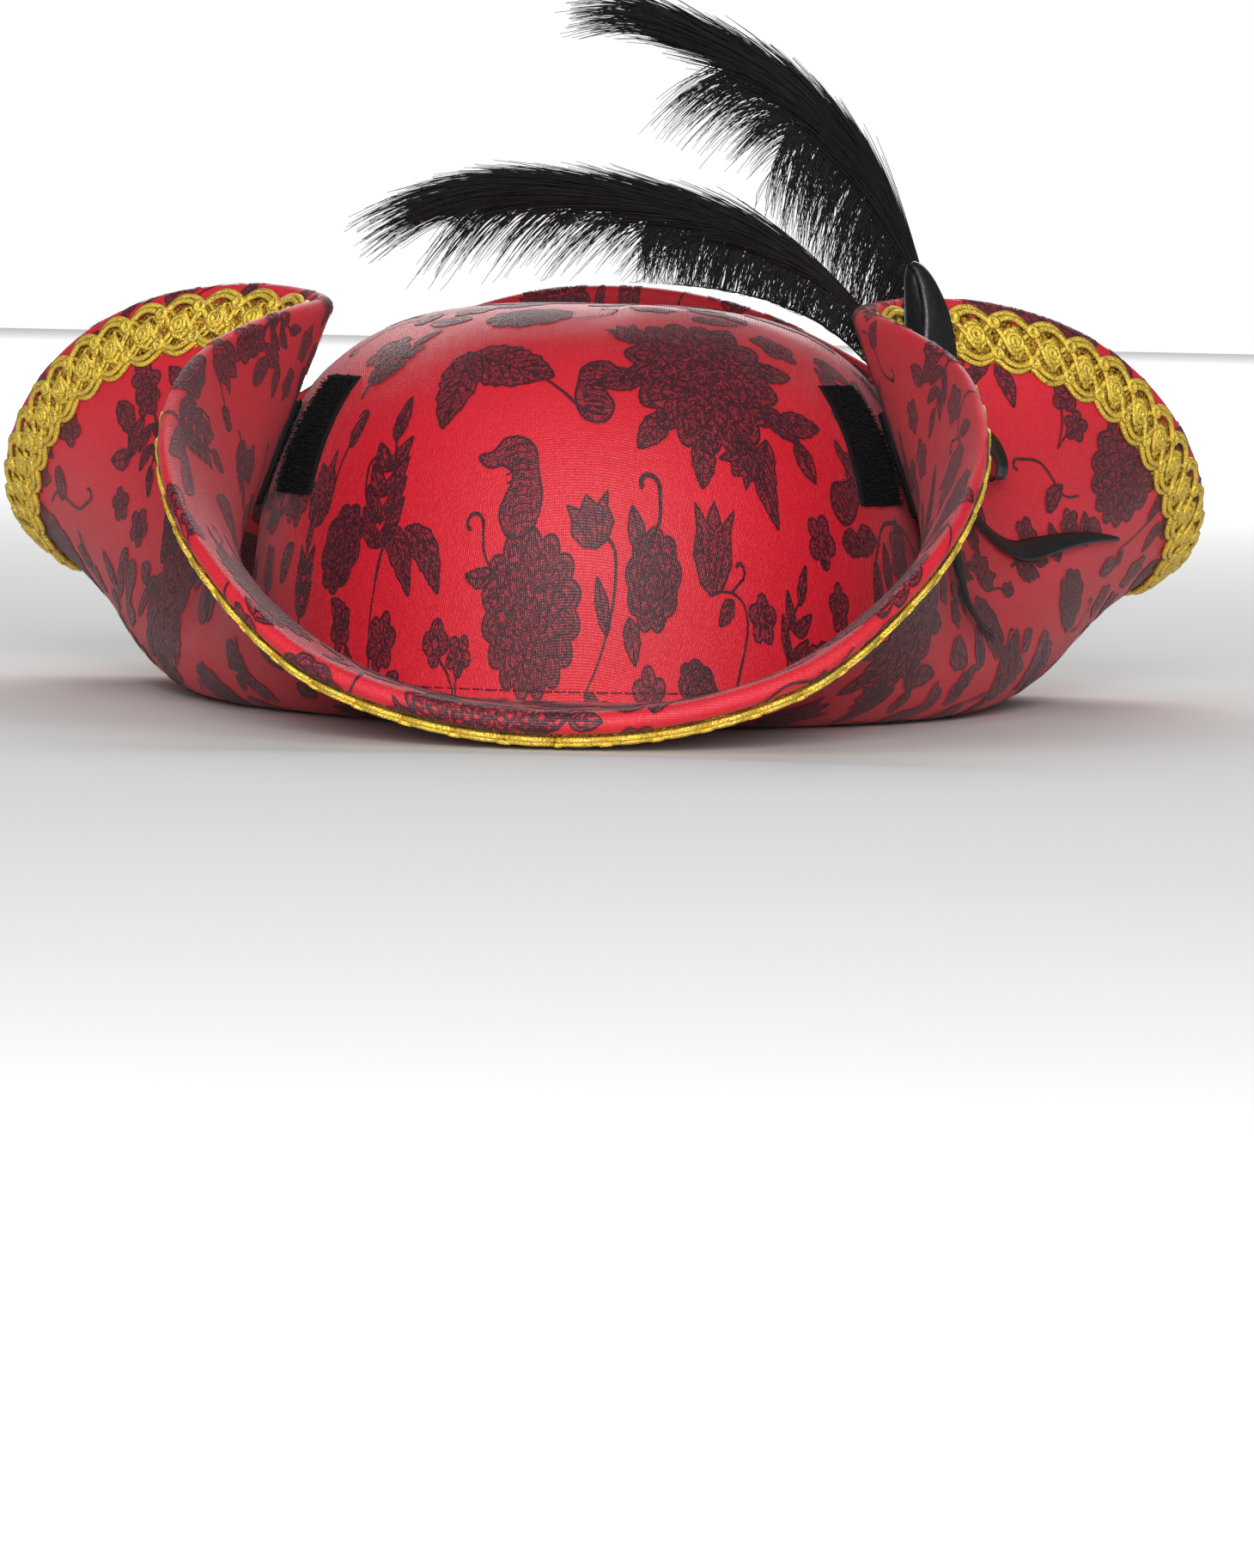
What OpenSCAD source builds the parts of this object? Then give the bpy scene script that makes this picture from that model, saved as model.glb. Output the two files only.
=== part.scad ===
// Three-cornered pirate hat: a padded, printed-cloth crown and brim, with gold braid along
// the brim, two side flaps that hook-and-loop tape holds up, two plumes and a ribbon bow.
// +Z is up, the front corner points along -Y, and the origin is the middle of the head
// opening, level with the seam between crown and brim.

/* [Crown] */
// Half the width of the crown at its base
crown_a = 83; // [78:1:88]
// Half the depth of the crown at its base
crown_b = 100; // [95:1:106]
// Height of the crown above the brim seam
crown_h = 94; // [88:1:100]
// How square the crown's shoulder is, from 2 for round upwards
crown_square = 3.2; // [2.6:0.1:3.8]
// Thickness of the crown's foam
crown_foam_t = 2.2; // [1.6:0.1:3]

/* [Brim] */
// Thickness of the brim's foam
brim_foam_t = 3.6; // [2.6:0.1:4.4]
// Thickness of the printed cover cloth
cover_t = 0.7; // [0.5:0.1:1]
// Adds to or takes from the brim's width all round
brim_extra = 0; // [-6:1:2]

/* [Side flaps] */
// Angle from the front where each flap's fold begins
flap_from = 38; // [36:1:42]
// Angle from the front where each flap's fold ends
flap_to = 100; // [96:1:102]
// Gap between a flap and the fixed brim
flap_gap = 0.4; // [0.3:0.05:0.6]

/* [Trim] */
// Width of the gold braid
braid_w = 14; // [10:1:16]
// Thickness of the gold braid
braid_t = 1.6; // [1:0.1:2]
// How far the braid stays in from the brim's edge
braid_in = 3.5; // [2:0.5:5]
// Height of the sweatband
sweatband_h = 26; // [20:1:32]
// Width of the satin ribbon
ribbon_w = 10; // [8:1:12]
// Width of the hook-and-loop tape
tape_w = 20; // [16:1:20]

/* [Plumes] */
// Radius of a plume's quill at its foot
quill_r = 1.2; // [1:0.1:1.4]
// Thickness of a plume across its barbs
plume_t = 11; // [8:1:13]

/* [Hidden] */

red = "#c2122b";
gold = "#c9a227";
black = "#141315";

// The brim at chosen angles from the front: angle, how far it is folded up, radius of the
// fold, flat run before the fold, and width from the crown seam to the edge.
FOLDS = [
    [0, 2, 38, 12, 106],
    [15, 9, 36, 12, 106],
    [25, 27, 31, 12, 105],
    [33, 48, 27, 11, 103],
    [41, 73, 22, 9, 103],
    [49, 94, 17, 8, 106],
    [57, 107, 14, 8, 112],
    [66, 112, 12, 8, 116],
    [78, 105, 14, 8, 116],
    [90, 85, 20, 8, 109],
    [102, 61, 32, 8, 98],
    [114, 40, 50, 8, 92],
    [125, 30, 64, 8, 93],
    [137, 37, 50, 8, 97],
    [150, 61, 32, 8, 104],
    [164, 88, 18, 8, 112],
    [180, 98, 14, 8, 115]];
FOLD = 1;
BEND = 2;
FLAT = 3;
WIDTH = 4;

lining_t = 0.5;
sweatband_t = 0.9;
brim_half = brim_foam_t / 2;
brim_face = brim_half + cover_t;

// ---- curves ----

// The slope of column c at row i of FOLDS
function key_slope(i, c) = (i <= 0 || i >= len(FOLDS) - 1) ? 0
    : (FOLDS[i + 1][c] - FOLDS[i - 1][c]) / (FOLDS[i + 1][0] - FOLDS[i - 1][0]);

// The row of FOLDS that starts the stretch holding angle u
function key_row(u, i = 0) = (i >= len(FOLDS) - 2 || FOLDS[i + 1][0] > u) ? i : key_row(u, i + 1);

// A smooth curve through column c of FOLDS, the same on both sides of the hat
function key(u, c) =
    let (v = abs(u > 180 ? u - 360 : u), i = key_row(v),
         h = FOLDS[i + 1][0] - FOLDS[i][0], t = (v - FOLDS[i][0]) / h)
    (2 * pow(t, 3) - 3 * t * t + 1) * FOLDS[i][c]
    + (pow(t, 3) - 2 * t * t + t) * h * key_slope(i, c)
    + (3 * t * t - 2 * pow(t, 3)) * FOLDS[i + 1][c]
    + (pow(t, 3) - t * t) * h * key_slope(i + 1, c);

function unit(v) = v / norm(v);

// A point of the crown seam, and the way straight out from it, at angle u from the front
function seam(u) = [crown_a * sin(u), -crown_b * cos(u), 0];
function outward(u) = unit([sin(u) / crown_a, -cos(u) / crown_b, 0]);

// How far the brim sheet is turned up, and its place out from the seam, s along the sheet
function brim_width(u) = key(u, WIDTH) + brim_extra;
function tilt(u, s) = min(max(s - key(u, FLAT), 0) / key(u, BEND) * 180 / PI, key(u, FOLD));
function reach(u, s) =
    let (a = tilt(u, s), flat = min(s, key(u, FLAT)),
         rest = max(0, s - key(u, FLAT) - key(u, BEND) * key(u, FOLD) * PI / 180))
    [flat + key(u, BEND) * sin(a) + rest * cos(a), key(u, BEND) * (1 - cos(a)) + rest * sin(a)];

// The brim's surface: angle u, s along the sheet from the seam, and t above its middle
function brim(u, s, t) =
    let (p = reach(u, s), a = tilt(u, s))
    seam(u) + outward(u) * (p[0] - t * sin(a)) + [0, 0, p[1] + t * cos(a)];

// ---- solids from two matching grids of points ----

function quads(cols, rows, start, flip, closed) = [
    for (i = [0 : cols - (closed ? 1 : 2)], j = [0 : rows - 2], k = [0, 1])
        let (a = start + i * rows + j, b = start + ((i + 1) % cols) * rows + j,
             f = k == 0 ? [a, b, b + 1] : [a, b + 1, a + 1])
        flip ? [f[2], f[1], f[0]] : f];

function edge_wall(cols, rows, row, flip, closed) = [
    for (i = [0 : cols - (closed ? 1 : 2)], k = [0, 1])
        let (n = cols * rows, a = i * rows + row, b = ((i + 1) % cols) * rows + row,
             f = k == 0 ? [a, n + a, n + b] : [a, n + b, b])
        flip ? [f[2], f[1], f[0]] : f];

function end_wall(cols, rows, col, flip) = [
    for (j = [0 : rows - 2], k = [0, 1])
        let (n = cols * rows, a = col * rows + j,
             f = k == 0 ? [a, a + 1, n + a + 1] : [a, n + a + 1, n + a])
        flip ? [f[2], f[1], f[0]] : f];

// A sheet with thickness: top and bottom are lists of columns, each a list of points
module sheet(top, bottom, closed = false) {
    cols = len(top);
    rows = len(top[0]);
    polyhedron(
        points = [for (side = [top, bottom], c = side) each c],
        faces = concat(
            quads(cols, rows, 0, true, closed),
            quads(cols, rows, cols * rows, false, closed),
            edge_wall(cols, rows, 0, true, closed),
            edge_wall(cols, rows, rows - 1, false, closed),
            closed ? [] : end_wall(cols, rows, 0, true),
            closed ? [] : end_wall(cols, rows, cols - 1, false)));
}

// ---- the columns and rows that the layers share ----

// Angles across each part of the brim; a strip this many degrees wide joins them
strip = 0.4;
front_cols = [for (i = [0 : 12]) -(flap_from - strip) + (flap_from - strip) * i / 6];
side_steps = 16;
side_cols = [for (i = [0 : side_steps]) flap_from + (flap_to - flap_from) * i / side_steps];
back_cols = [for (i = [0 : 26]) flap_to + strip + (360 - 2 * flap_to - 2 * strip) * i / 26];
ring_cols = concat(front_cols, side_cols, back_cols,
    [for (i = [side_steps : -1 : 0]) 360 - side_cols[i]]);
function on_side(u) =
    let (v = u > 180 ? 360 - u : abs(u)) v > flap_from - strip / 2 && v < flap_to + strip / 2;

// Each flap turns about a straight line that touches the seam's side, this far out from it
hinge_u = 66;
hinge_out = 4;
hinge_z = -3.2;

// Distance along the sheet to the flap's fold line, at angle u on the right side
function fold_line(u, more = 0) =
    let (n = outward(hinge_u),
         r = (hinge_out + more - n * (seam(u) - seam(hinge_u))) / (n * outward(u)),
         g = key(u, FLAT), b = key(u, BEND))
    r < g ? r : g + b * asin(min(0.98, (r - g) / b)) * PI / 180;

// Where the fixed brim ends, s along the sheet
function ring_end(u) = on_side(u) ? fold_line(u > 180 ? 360 - u : abs(u)) - cover_t - 0.1
    : brim_width(u) - cover_t;

// The edges of the braid, s along the sheet
function braid_low(u) = brim_width(u) - braid_in - braid_w;
function braid_high(u) = brim_width(u) - braid_in;

// Rows: the flat run, four steps of the bend, the braid's two edges and the sheet's own
function bend_end(u, from) =
    max(from + 4, min(key(u, FLAT) + key(u, BEND) * key(u, FOLD) * PI / 180, braid_low(u) - 4));
function full_rows(u, to) =
    let (g = key(u, FLAT), b = bend_end(u, g))
    [0, for (i = [0 : 4]) g + (b - g) * i / 4, braid_low(u), braid_high(u), to];
function even_rows(from, to) = [for (i = [0 : 8]) from + (to - from) * i / 8];
function ring_rows(u) = on_side(u) ? even_rows(0, ring_end(u)) : full_rows(u, ring_end(u));
function flap_rows(u) =
    let (from = fold_line(u, flap_gap), b = bend_end(u, from))
    [for (i = [0 : 5]) from + (b - from) * i / 5, braid_low(u), braid_high(u),
        brim_width(u) - cover_t];

// ---- the brim's layers ----

// The foam between the two covers
module foam_layer(cols, rows, closed) {
    sheet(
        [for (i = [0 : len(cols) - 1]) [for (s = rows[i]) brim(cols[i], s, brim_half)]],
        [for (i = [0 : len(cols) - 1]) [for (s = rows[i]) brim(cols[i], s, -brim_half)]],
        closed);
}

// The inner cover, which wraps the cut edge of the foam
module top_layer(cols, rows, closed) {
    last = len(rows[0]) - 1;
    sheet(
        [for (i = [0 : len(cols) - 1]) [
            for (j = [0 : last]) brim(cols[i], rows[i][j] + (j == last ? cover_t : 0), brim_face),
            brim(cols[i], rows[i][last] + cover_t, -brim_half)]],
        [for (i = [0 : len(cols) - 1]) [
            for (j = [0 : last]) brim(cols[i], rows[i][j], brim_half),
            brim(cols[i], rows[i][last], -brim_half)]],
        closed);
}

// The outer cover, on the side that shows when the brim is folded up
module under_layer(cols, rows, closed) {
    sheet(
        [for (i = [0 : len(cols) - 1]) [for (s = rows[i]) brim(cols[i], s, -brim_half)]],
        [for (i = [0 : len(cols) - 1]) [for (s = rows[i]) brim(cols[i], s, -brim_face)]],
        closed);
}

// Braid laid flat on the outer cover, in from the edge
module braid_layer(cols) {
    sheet(
        [for (u = cols) [for (s = [braid_low(u), braid_high(u)]) brim(u, s, -brim_face)]],
        [for (u = cols) [for (s = [braid_low(u), braid_high(u)])
            brim(u, s, -brim_face - braid_t)]]);
}

ring_row_list = [for (u = ring_cols) ring_rows(u)];
flap_cols = [for (i = [0 : side_steps])
    flap_from + flap_gap + (flap_to - flap_from - flap_gap) * i / side_steps];
flap_row_list = [for (u = flap_cols) flap_rows(u)];

module brim_top_cover() { color(red) top_layer(ring_cols, ring_row_list, true); }
module brim_foam() { color("white") foam_layer(ring_cols, ring_row_list, true); }
module brim_under_cover() { color(red) under_layer(ring_cols, ring_row_list, true); }
module front_braid() { color(gold) braid_layer(front_cols); }
module back_braid() { color(gold) braid_layer(back_cols); }

module left_flap_top_cover() { color(red) mirror([1, 0, 0]) right_flap_top_cover(); }
module left_flap_foam() { color("white") mirror([1, 0, 0]) right_flap_foam(); }
module left_flap_under_cover() { color(red) mirror([1, 0, 0]) right_flap_under_cover(); }
module left_flap_braid() { color(gold) mirror([1, 0, 0]) right_flap_braid(); }
module right_flap_top_cover() { color(red) top_layer(flap_cols, flap_row_list, false); }
module right_flap_foam() { color("white") foam_layer(flap_cols, flap_row_list, false); }
module right_flap_under_cover() { color(red) under_layer(flap_cols, flap_row_list, false); }
module right_flap_braid() { color(gold) braid_layer(flap_cols); }

// ---- the crown's layers ----

// Heights up the crown, as angles of its rounded outline
crown_turns = [0, 10, 22, 36, 50, 65, 80];

// Points of one shell of the crown, this far inside its outer face
function crown_col(u, inset) =
    let (a = crown_a - inset, b = crown_b - inset, h = crown_h - inset)
    [[a * sin(u), -b * cos(u), -brim_face],
     [a * sin(u), -b * cos(u), brim_face],
     for (i = [1 : len(crown_turns) - 1])
        let (r = pow(cos(crown_turns[i]), 2 / crown_square))
        [a * r * sin(u), -b * r * cos(u), h * pow(sin(crown_turns[i]), 2 / crown_square)]];

// A shell of the crown between two insets, closed over at the top
module crown_shell(outer, inner) {
    cols = len(ring_cols);
    rows = len(crown_turns) + 1;
    last = rows - 1;
    n = cols * rows;
    top = [0, 0, crown_h - outer];
    under = [0, 0, crown_h - inner];
    polyhedron(
        points = concat(
            [for (u = ring_cols) each crown_col(u, outer)],
            [for (u = ring_cols) each crown_col(u, inner)], [top, under]),
        faces = concat(
            quads(cols, rows, 0, true, true),
            quads(cols, rows, n, false, true),
            edge_wall(cols, rows, 0, true, true),
            [for (i = [0 : cols - 1])
                [2 * n, ((i + 1) % cols) * rows + last, i * rows + last]],
            [for (i = [0 : cols - 1])
                [2 * n + 1, n + i * rows + last, n + ((i + 1) % cols) * rows + last]]));
}

module crown_cover() { color(red) crown_shell(0, cover_t); }
module crown_foam() { color("white") crown_shell(cover_t, cover_t + crown_foam_t); }
module crown_lining() {
    color(black) crown_shell(cover_t + crown_foam_t, cover_t + crown_foam_t + lining_t);
}

// A band of soft cloth round the inside of the head opening
module sweatband() {
    inset = cover_t + crown_foam_t + lining_t + 0.25;
    function wall(u, more, z) =
        let (k = z < 6 ? 0 : 0.6)
        [(crown_a - inset - more - k) * sin(u), -(crown_b - inset - more - k) * cos(u), z];
    heights = [-brim_face, 6, sweatband_h - brim_face];
    color(black) sheet(
        [for (u = ring_cols) [for (z = heights) wall(u, sweatband_t, z)]],
        [for (u = ring_cols) [for (z = heights) wall(u, 0, z)]], true);
}

// ---- hook-and-loop tape ----

tape_low = 48;
tape_high = 76;
tape_t = 1.5;

// How wide the crown is at height z, as a share of its base
function crown_share(z) = pow(1 - pow(z / crown_h, crown_square), 1 / crown_square);
function on_crown(u, z, out) =
    [(crown_a * crown_share(z) + out) * sin(u), -(crown_b * crown_share(z) + out) * cos(u), z];

// A strip of hook tape standing on the crown's side; clear of its facets
module crown_hook_tape() {
    half = tape_w / 2 / 93 * 180 / PI;
    zs = [for (i = [0 : 4]) tape_low + (tape_high - tape_low) * i / 4];
    us = [for (i = [0 : 4]) 60.5 - half + 2 * half * i / 4];
    color(black) sheet(
        [for (u = us) [for (z = zs) on_crown(u, z, 0.9 + tape_t)]],
        [for (u = us) [for (z = zs) on_crown(u, z, 0.9)]]);
}
module left_crown_hook_tape() { color(black) mirror([1, 0, 0]) crown_hook_tape(); }
module right_crown_hook_tape() { crown_hook_tape(); }

// A strip of loop tape on the flap's inner face, opposite the hook tape
module flap_loop_tape() {
    us = [for (i = [6 : 9]) flap_cols[i]];
    ss = [for (i = [0 : 3]) 64 + 26 * i / 3];
    color(black) sheet(
        [for (u = us) [for (s = ss) brim(u, s, brim_face + 0.5 + tape_t)]],
        [for (u = us) [for (s = ss) brim(u, s, brim_face + 0.5)]]);
}
module left_flap_loop_tape() { color(black) mirror([1, 0, 0]) flap_loop_tape(); }
module right_flap_loop_tape() { flap_loop_tape(); }

// ---- plumes ----

// Each quill stands in a sleeve on the crown's right side, and arches over to the left
sleeve_low = 44;
sleeve_high = 60;
sleeve_r = 3.2;
sleeve_bore = 2.4;
front_foot = [84.9, -16, 52];
tall_foot = [86.2, 0, 52];
// Each quill arches over and curls down at its tip, while its barbs sweep on past it
front_route = [front_foot, [84.7, -16, 60], [82.4, -16, 68], [77, -16, 78], [69, -16, 88],
    [58, -15, 98.5], [46, -14, 106.5], [30, -13, 113], [11, -13, 117], [-6, -14, 116],
    [-14, -14, 112.5], [-18, -15, 107], [-20, -15, 101]];
tall_route = [tall_foot, [86.2, 0, 62], [85.4, 1, 76], [82.6, 2, 90], [78, 3, 102], [71.7, 4, 115],
    [64, 5, 126], [55, 6, 134.5], [44.4, 7, 140.3], [34, 8, 141], [26, 9, 137], [21, 10, 128],
    [18.2, 10, 119]];
front_sweep = [[72, -16, 85], [60, -15, 98], [46, -14, 108], [30, -13, 115], [12, -13, 120],
    [-10, -14, 122], [-30, -15, 120], [-48, -16, 114]];
tall_sweep = [[78.5, 3, 101], [72, 4, 116], [63, 5, 130], [50, 7, 144], [36, 9, 155], [20, 10, 163],
    [4, 10, 169], [-6, 10, 171]];

// A tube along a route, thinning to its tip, with the given number of sides
module taper_tube(route, r0, r1, sides) {
    n = len(route);
    function along(i) = unit(route[min(i + 1, n - 1)] - route[max(i - 1, 0)]);
    function ring(i) =
        let (d = along(i), side = [0, 1, 0], up = unit(cross(d, side)), e = cross(up, d),
             r = r0 + (r1 - r0) * i / (n - 1))
        [for (k = [0 : sides - 1]) route[i] + r * (cos(360 * k / sides) * up
            + sin(360 * k / sides) * e)];
    polyhedron(
        points = [for (i = [0 : n - 1]) each ring(i)],
        faces = concat(
            [for (i = [0 : n - 2], k = [0 : sides - 1], m = [0, 1])
                let (a = i * sides + k, b = i * sides + (k + 1) % sides)
                m == 0 ? [a, b, b + sides] : [a, b + sides, a + sides]],
            [[for (k = [sides - 1 : -1 : 0]) k]],
            [[for (k = [0 : sides - 1]) (n - 1) * sides + k]]));
}

// The barbs as one flat leaf of lens-shaped sections that hangs from the quill
module barbs(route, above, below) {
    n = len(route);
    sides = 10;
    function along(i) = unit(route[min(i + 1, n - 1)] - route[max(i - 1, 0)]);
    function fullness(i) = max(0.18, pow(sin(180 * (0.06 + 0.8 * i / (n - 1))), 0.7));
    function ring(i) =
        let (d = along(i), up = unit(cross(d, [0, 1, 0])), e = cross(up, d), f = fullness(i),
             hi = above * f, lo = below * f)
        [for (k = [0 : sides - 1])
            let (c = cos(360 * k / sides), s = sin(360 * k / sides))
            route[i] + up * (c > 0 ? c * hi : c * lo) + e * (s * plume_t / 2 * f)];
    polyhedron(
        points = [for (i = [0 : n - 1]) each ring(i)],
        faces = concat(
            [for (i = [0 : n - 2], k = [0 : sides - 1], m = [0, 1])
                let (a = i * sides + k, b = i * sides + (k + 1) % sides)
                m == 0 ? [a, b, b + sides] : [a, b + sides, a + sides]],
            [[for (k = [sides - 1 : -1 : 0]) k]],
            [[for (k = [0 : sides - 1]) (n - 1) * sides + k]]));
}

module front_quill() { color(black) taper_tube(front_route, quill_r, quill_r / 3, 8); }
module tall_quill() { color(black) taper_tube(tall_route, quill_r, quill_r / 3, 8); }
module front_plume() { color(black) barbs(front_sweep, 7, 11); }
module tall_plume() { color(black) barbs(tall_sweep, 7, 12); }

// A piece of felt sewn to the crown's side, which carries the two sleeves
module felt_patch() {
    us = [for (i = [0 : 4]) 76 + 20 * i / 4];
    zs = [for (i = [0 : 3]) sleeve_low - 4 + (sleeve_high - sleeve_low + 4) * i / 3];
    color(black) sheet(
        [for (u = us) [for (z = zs) on_crown(u, z, 1.6)]],
        [for (u = us) [for (z = zs) on_crown(u, z, 0.6)]]);
}

// Two stitched sleeves that the quills stand in, each closed at its foot
module quill_sleeves() {
    color(black) for (foot = [front_foot, tall_foot])
        translate([foot[0], foot[1], sleeve_low]) difference() {
            cylinder(h = sleeve_high - sleeve_low, r = sleeve_r, $fn = 32);
            translate([0, 0, 3]) cylinder(h = sleeve_high - sleeve_low, r = sleeve_bore, $fn = 32);
        }
}

// ---- ribbon bow on the right flap ----

bow_u = 69;
bow_s = 88;
bow_off = 5.4;
ribbon_t = 0.6;
knot_r = 3.2;
bow_at = brim(bow_u, bow_s, -brim_face - bow_off);

// Directions at the bow: up the flap, out from it, and along the brim towards the back
bow_up = unit(brim(bow_u, bow_s + 1, 0) - brim(bow_u, bow_s, 0));
bow_out = unit(brim(bow_u, bow_s, -1) - brim(bow_u, bow_s, 0));
bow_back = cross(bow_up, bow_out);

// A ribbon along a route, its flat lying along the directions given for each point
module ribbon(route, flats, w = ribbon_w) {
    n = len(route);
    function along(i) = unit(route[min(i + 1, n - 1)] - route[max(i - 1, 0)]);
    function face(i) = unit(cross(along(i), flats[i]));
    function flat(i) = unit(cross(face(i), along(i)));
    sheet(
        [for (i = [0 : n - 1]) [for (k = [-1, 1])
            route[i] + flat(i) * k * w / 2 + face(i) * ribbon_t / 2]],
        [for (i = [0 : n - 1]) [for (k = [-1, 1])
            route[i] + flat(i) * k * w / 2 - face(i) * ribbon_t / 2]]);
}

function bow_point(p) = bow_at + bow_up * p[0] + bow_out * p[1] + bow_back * p[2];

// A loop: up from the knot, round its tip and back, as up, out and back distances
upper_loop = [[3, 0.8, 0], [10, 3.6, 0.5], [20, 6.4, 1], [29, 6.8, 1], [34, 5.2, 1], [32, 3.4, 1],
    [24, 1.6, 1], [14, -0.2, 0.5], [3, -0.8, 0]];
lower_loop = [for (p = upper_loop) [-p[0], p[1] * 1.3 + 0.9, p[2] + 3 * p[0] / 34]];

module bow_loop(points, turn) {
    color(black) ribbon([for (p = points) bow_point(p)],
        [for (p = points) bow_back + bow_out * turn]);
}
module bow_upper_loop() { bow_loop(upper_loop, 0.35); }
module bow_lower_loop() { bow_loop(lower_loop, 0.05); }

// The cross wrap that holds the loops and tails together
module bow_knot() {
    turn = [bow_back, bow_out, bow_up];
    color(black) multmatrix([
        [turn[0][0], turn[1][0], turn[2][0], bow_at[0]],
        [turn[0][1], turn[1][1], turn[2][1], bow_at[1]],
        [turn[0][2], turn[1][2], turn[2][2], bow_at[2]],
        [0, 0, 0, 1]])
        rotate([0, 90, 0]) cylinder(h = ribbon_w * 1.1, r = knot_r, center = true, $fn = 32);
}

// Where a tail lies on the brim's outer face: angle, s along the sheet, distance off it
function tail_point(p) = brim(p[0], p[1], -brim_face - p[2]);
function tail_flat(p, q) = cross(unit(tail_point(q) - tail_point(p)),
    unit(tail_point(p + [0, 0, 1]) - tail_point(p)));
long_tail = [[71, 87, 3.5], [69.5, 76, 3.4], [69, 67, 3.2], [71, 60, 3.2], [74.5, 54.5, 3.2],
    [78.5, 52.5, 3.2], [83, 54.5, 3.2], [88, 58, 3.2], [92.5, 61.5, 3], [97, 65, 3]];
short_tail = [[67, 87, 2.3], [64, 76, 2.3], [60.5, 64, 2.3], [57.5, 52, 2.4], [57, 43, 2.6],
    [59.5, 36, 2.8], [64, 31, 3]];

module ribbon_tail(points) {
    n = len(points);
    route = [for (p = points) tail_point(p)];
    flats = [for (i = [0 : n - 1])
        tail_flat(points[min(i, n - 2)], points[min(i + 1, n - 1)])];
    color(black) ribbon(route, flats);
}
module ribbon_long_tail() { ribbon_tail(long_tail); }
module ribbon_short_tail() { ribbon_tail(short_tail); }

crown_cover();
crown_foam();
crown_lining();
sweatband();
brim_top_cover();
brim_foam();
brim_under_cover();
front_braid();
back_braid();
left_flap_top_cover();
left_flap_foam();
left_flap_under_cover();
left_flap_braid();
right_flap_top_cover();
right_flap_foam();
right_flap_under_cover();
right_flap_braid();
left_crown_hook_tape();
right_crown_hook_tape();
left_flap_loop_tape();
right_flap_loop_tape();
felt_patch();
quill_sleeves();
front_quill();
front_plume();
tall_quill();
tall_plume();
bow_knot();
bow_upper_loop();
bow_lower_loop();
ribbon_long_tail();
ribbon_short_tail();
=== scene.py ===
import math
import bmesh
import bpy
import numpy as np
from mathutils import Matrix, Vector, geometry


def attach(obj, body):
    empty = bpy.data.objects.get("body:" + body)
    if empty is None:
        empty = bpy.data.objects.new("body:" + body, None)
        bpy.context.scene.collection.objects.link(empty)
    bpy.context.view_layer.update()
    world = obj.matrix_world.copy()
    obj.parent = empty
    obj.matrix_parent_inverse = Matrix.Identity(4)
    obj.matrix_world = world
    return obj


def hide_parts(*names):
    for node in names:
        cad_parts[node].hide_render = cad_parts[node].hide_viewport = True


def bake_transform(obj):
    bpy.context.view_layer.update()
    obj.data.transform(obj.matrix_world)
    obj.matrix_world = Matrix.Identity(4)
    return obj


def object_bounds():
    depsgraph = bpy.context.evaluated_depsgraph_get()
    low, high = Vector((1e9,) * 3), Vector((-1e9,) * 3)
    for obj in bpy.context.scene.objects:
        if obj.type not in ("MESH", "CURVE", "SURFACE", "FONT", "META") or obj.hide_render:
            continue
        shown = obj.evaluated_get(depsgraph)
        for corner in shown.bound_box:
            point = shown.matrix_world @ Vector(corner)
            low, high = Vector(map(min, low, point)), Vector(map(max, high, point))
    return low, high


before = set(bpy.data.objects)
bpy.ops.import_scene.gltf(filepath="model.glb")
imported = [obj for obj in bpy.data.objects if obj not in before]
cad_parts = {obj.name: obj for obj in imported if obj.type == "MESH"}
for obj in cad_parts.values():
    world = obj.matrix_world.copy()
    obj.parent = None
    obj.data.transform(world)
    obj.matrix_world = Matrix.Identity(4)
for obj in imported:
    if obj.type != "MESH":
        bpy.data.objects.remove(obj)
cad_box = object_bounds()

# ---- The studio -----------------------------------------------------------------------
# None of this is part of the hat: a plain pale floor, soft light from the front and above,
# and a camera two metres off, a little above the brim and held at a slight tilt.

camera_away = 2.0
camera_up, camera_side, camera_tilt = math.radians(3), math.radians(2.2), math.radians(1.2)
ahead = Vector((-math.sin(camera_side) * math.cos(camera_up),
                math.cos(camera_side) * math.cos(camera_up), -math.sin(camera_up)))
across = Vector((math.cos(camera_side), math.sin(camera_side), 0))
stand = -ahead * camera_away
aim = across * 0.0093 - across.cross(ahead) * 0.0228
look = (aim - stand).normalized()
level = look.cross(Vector((0, 0, 1))).normalized()
upright = level.cross(look)
tilted = level * math.cos(camera_tilt) + upright * math.sin(camera_tilt)
camera = bpy.data.objects.new("camera", bpy.data.cameras.new("camera"))
camera.data.lens = 188.2
camera.data.clip_end = 50
camera.matrix_world = Matrix.Translation(stand) @ Matrix(
    (tilted, tilted.cross(look), -look)).transposed().to_4x4()
bpy.context.scene.collection.objects.link(camera)
bpy.context.scene.camera = camera
bpy.context.scene.view_settings.view_transform = "Standard"

room_glow, seen_glow = 0.16, 1.0
world = bpy.data.worlds.new("white_room")
world.use_nodes = True
world.node_tree.nodes["Background"].inputs["Color"].default_value = (1, 1, 1, 1)
world.node_tree.nodes["Background"].inputs["Strength"].default_value = room_glow
bpy.context.scene.world = world

seen = world.node_tree.nodes.new("ShaderNodeLightPath")
glow = world.node_tree.nodes.new("ShaderNodeMapRange")
glow.inputs["To Min"].default_value, glow.inputs["To Max"].default_value = room_glow, seen_glow
world.node_tree.links.new(seen.outputs["Is Camera Ray"], glow.inputs["Value"])
world.node_tree.links.new(glow.outputs["Result"], world.node_tree.nodes["Background"].inputs["Strength"])

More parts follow.
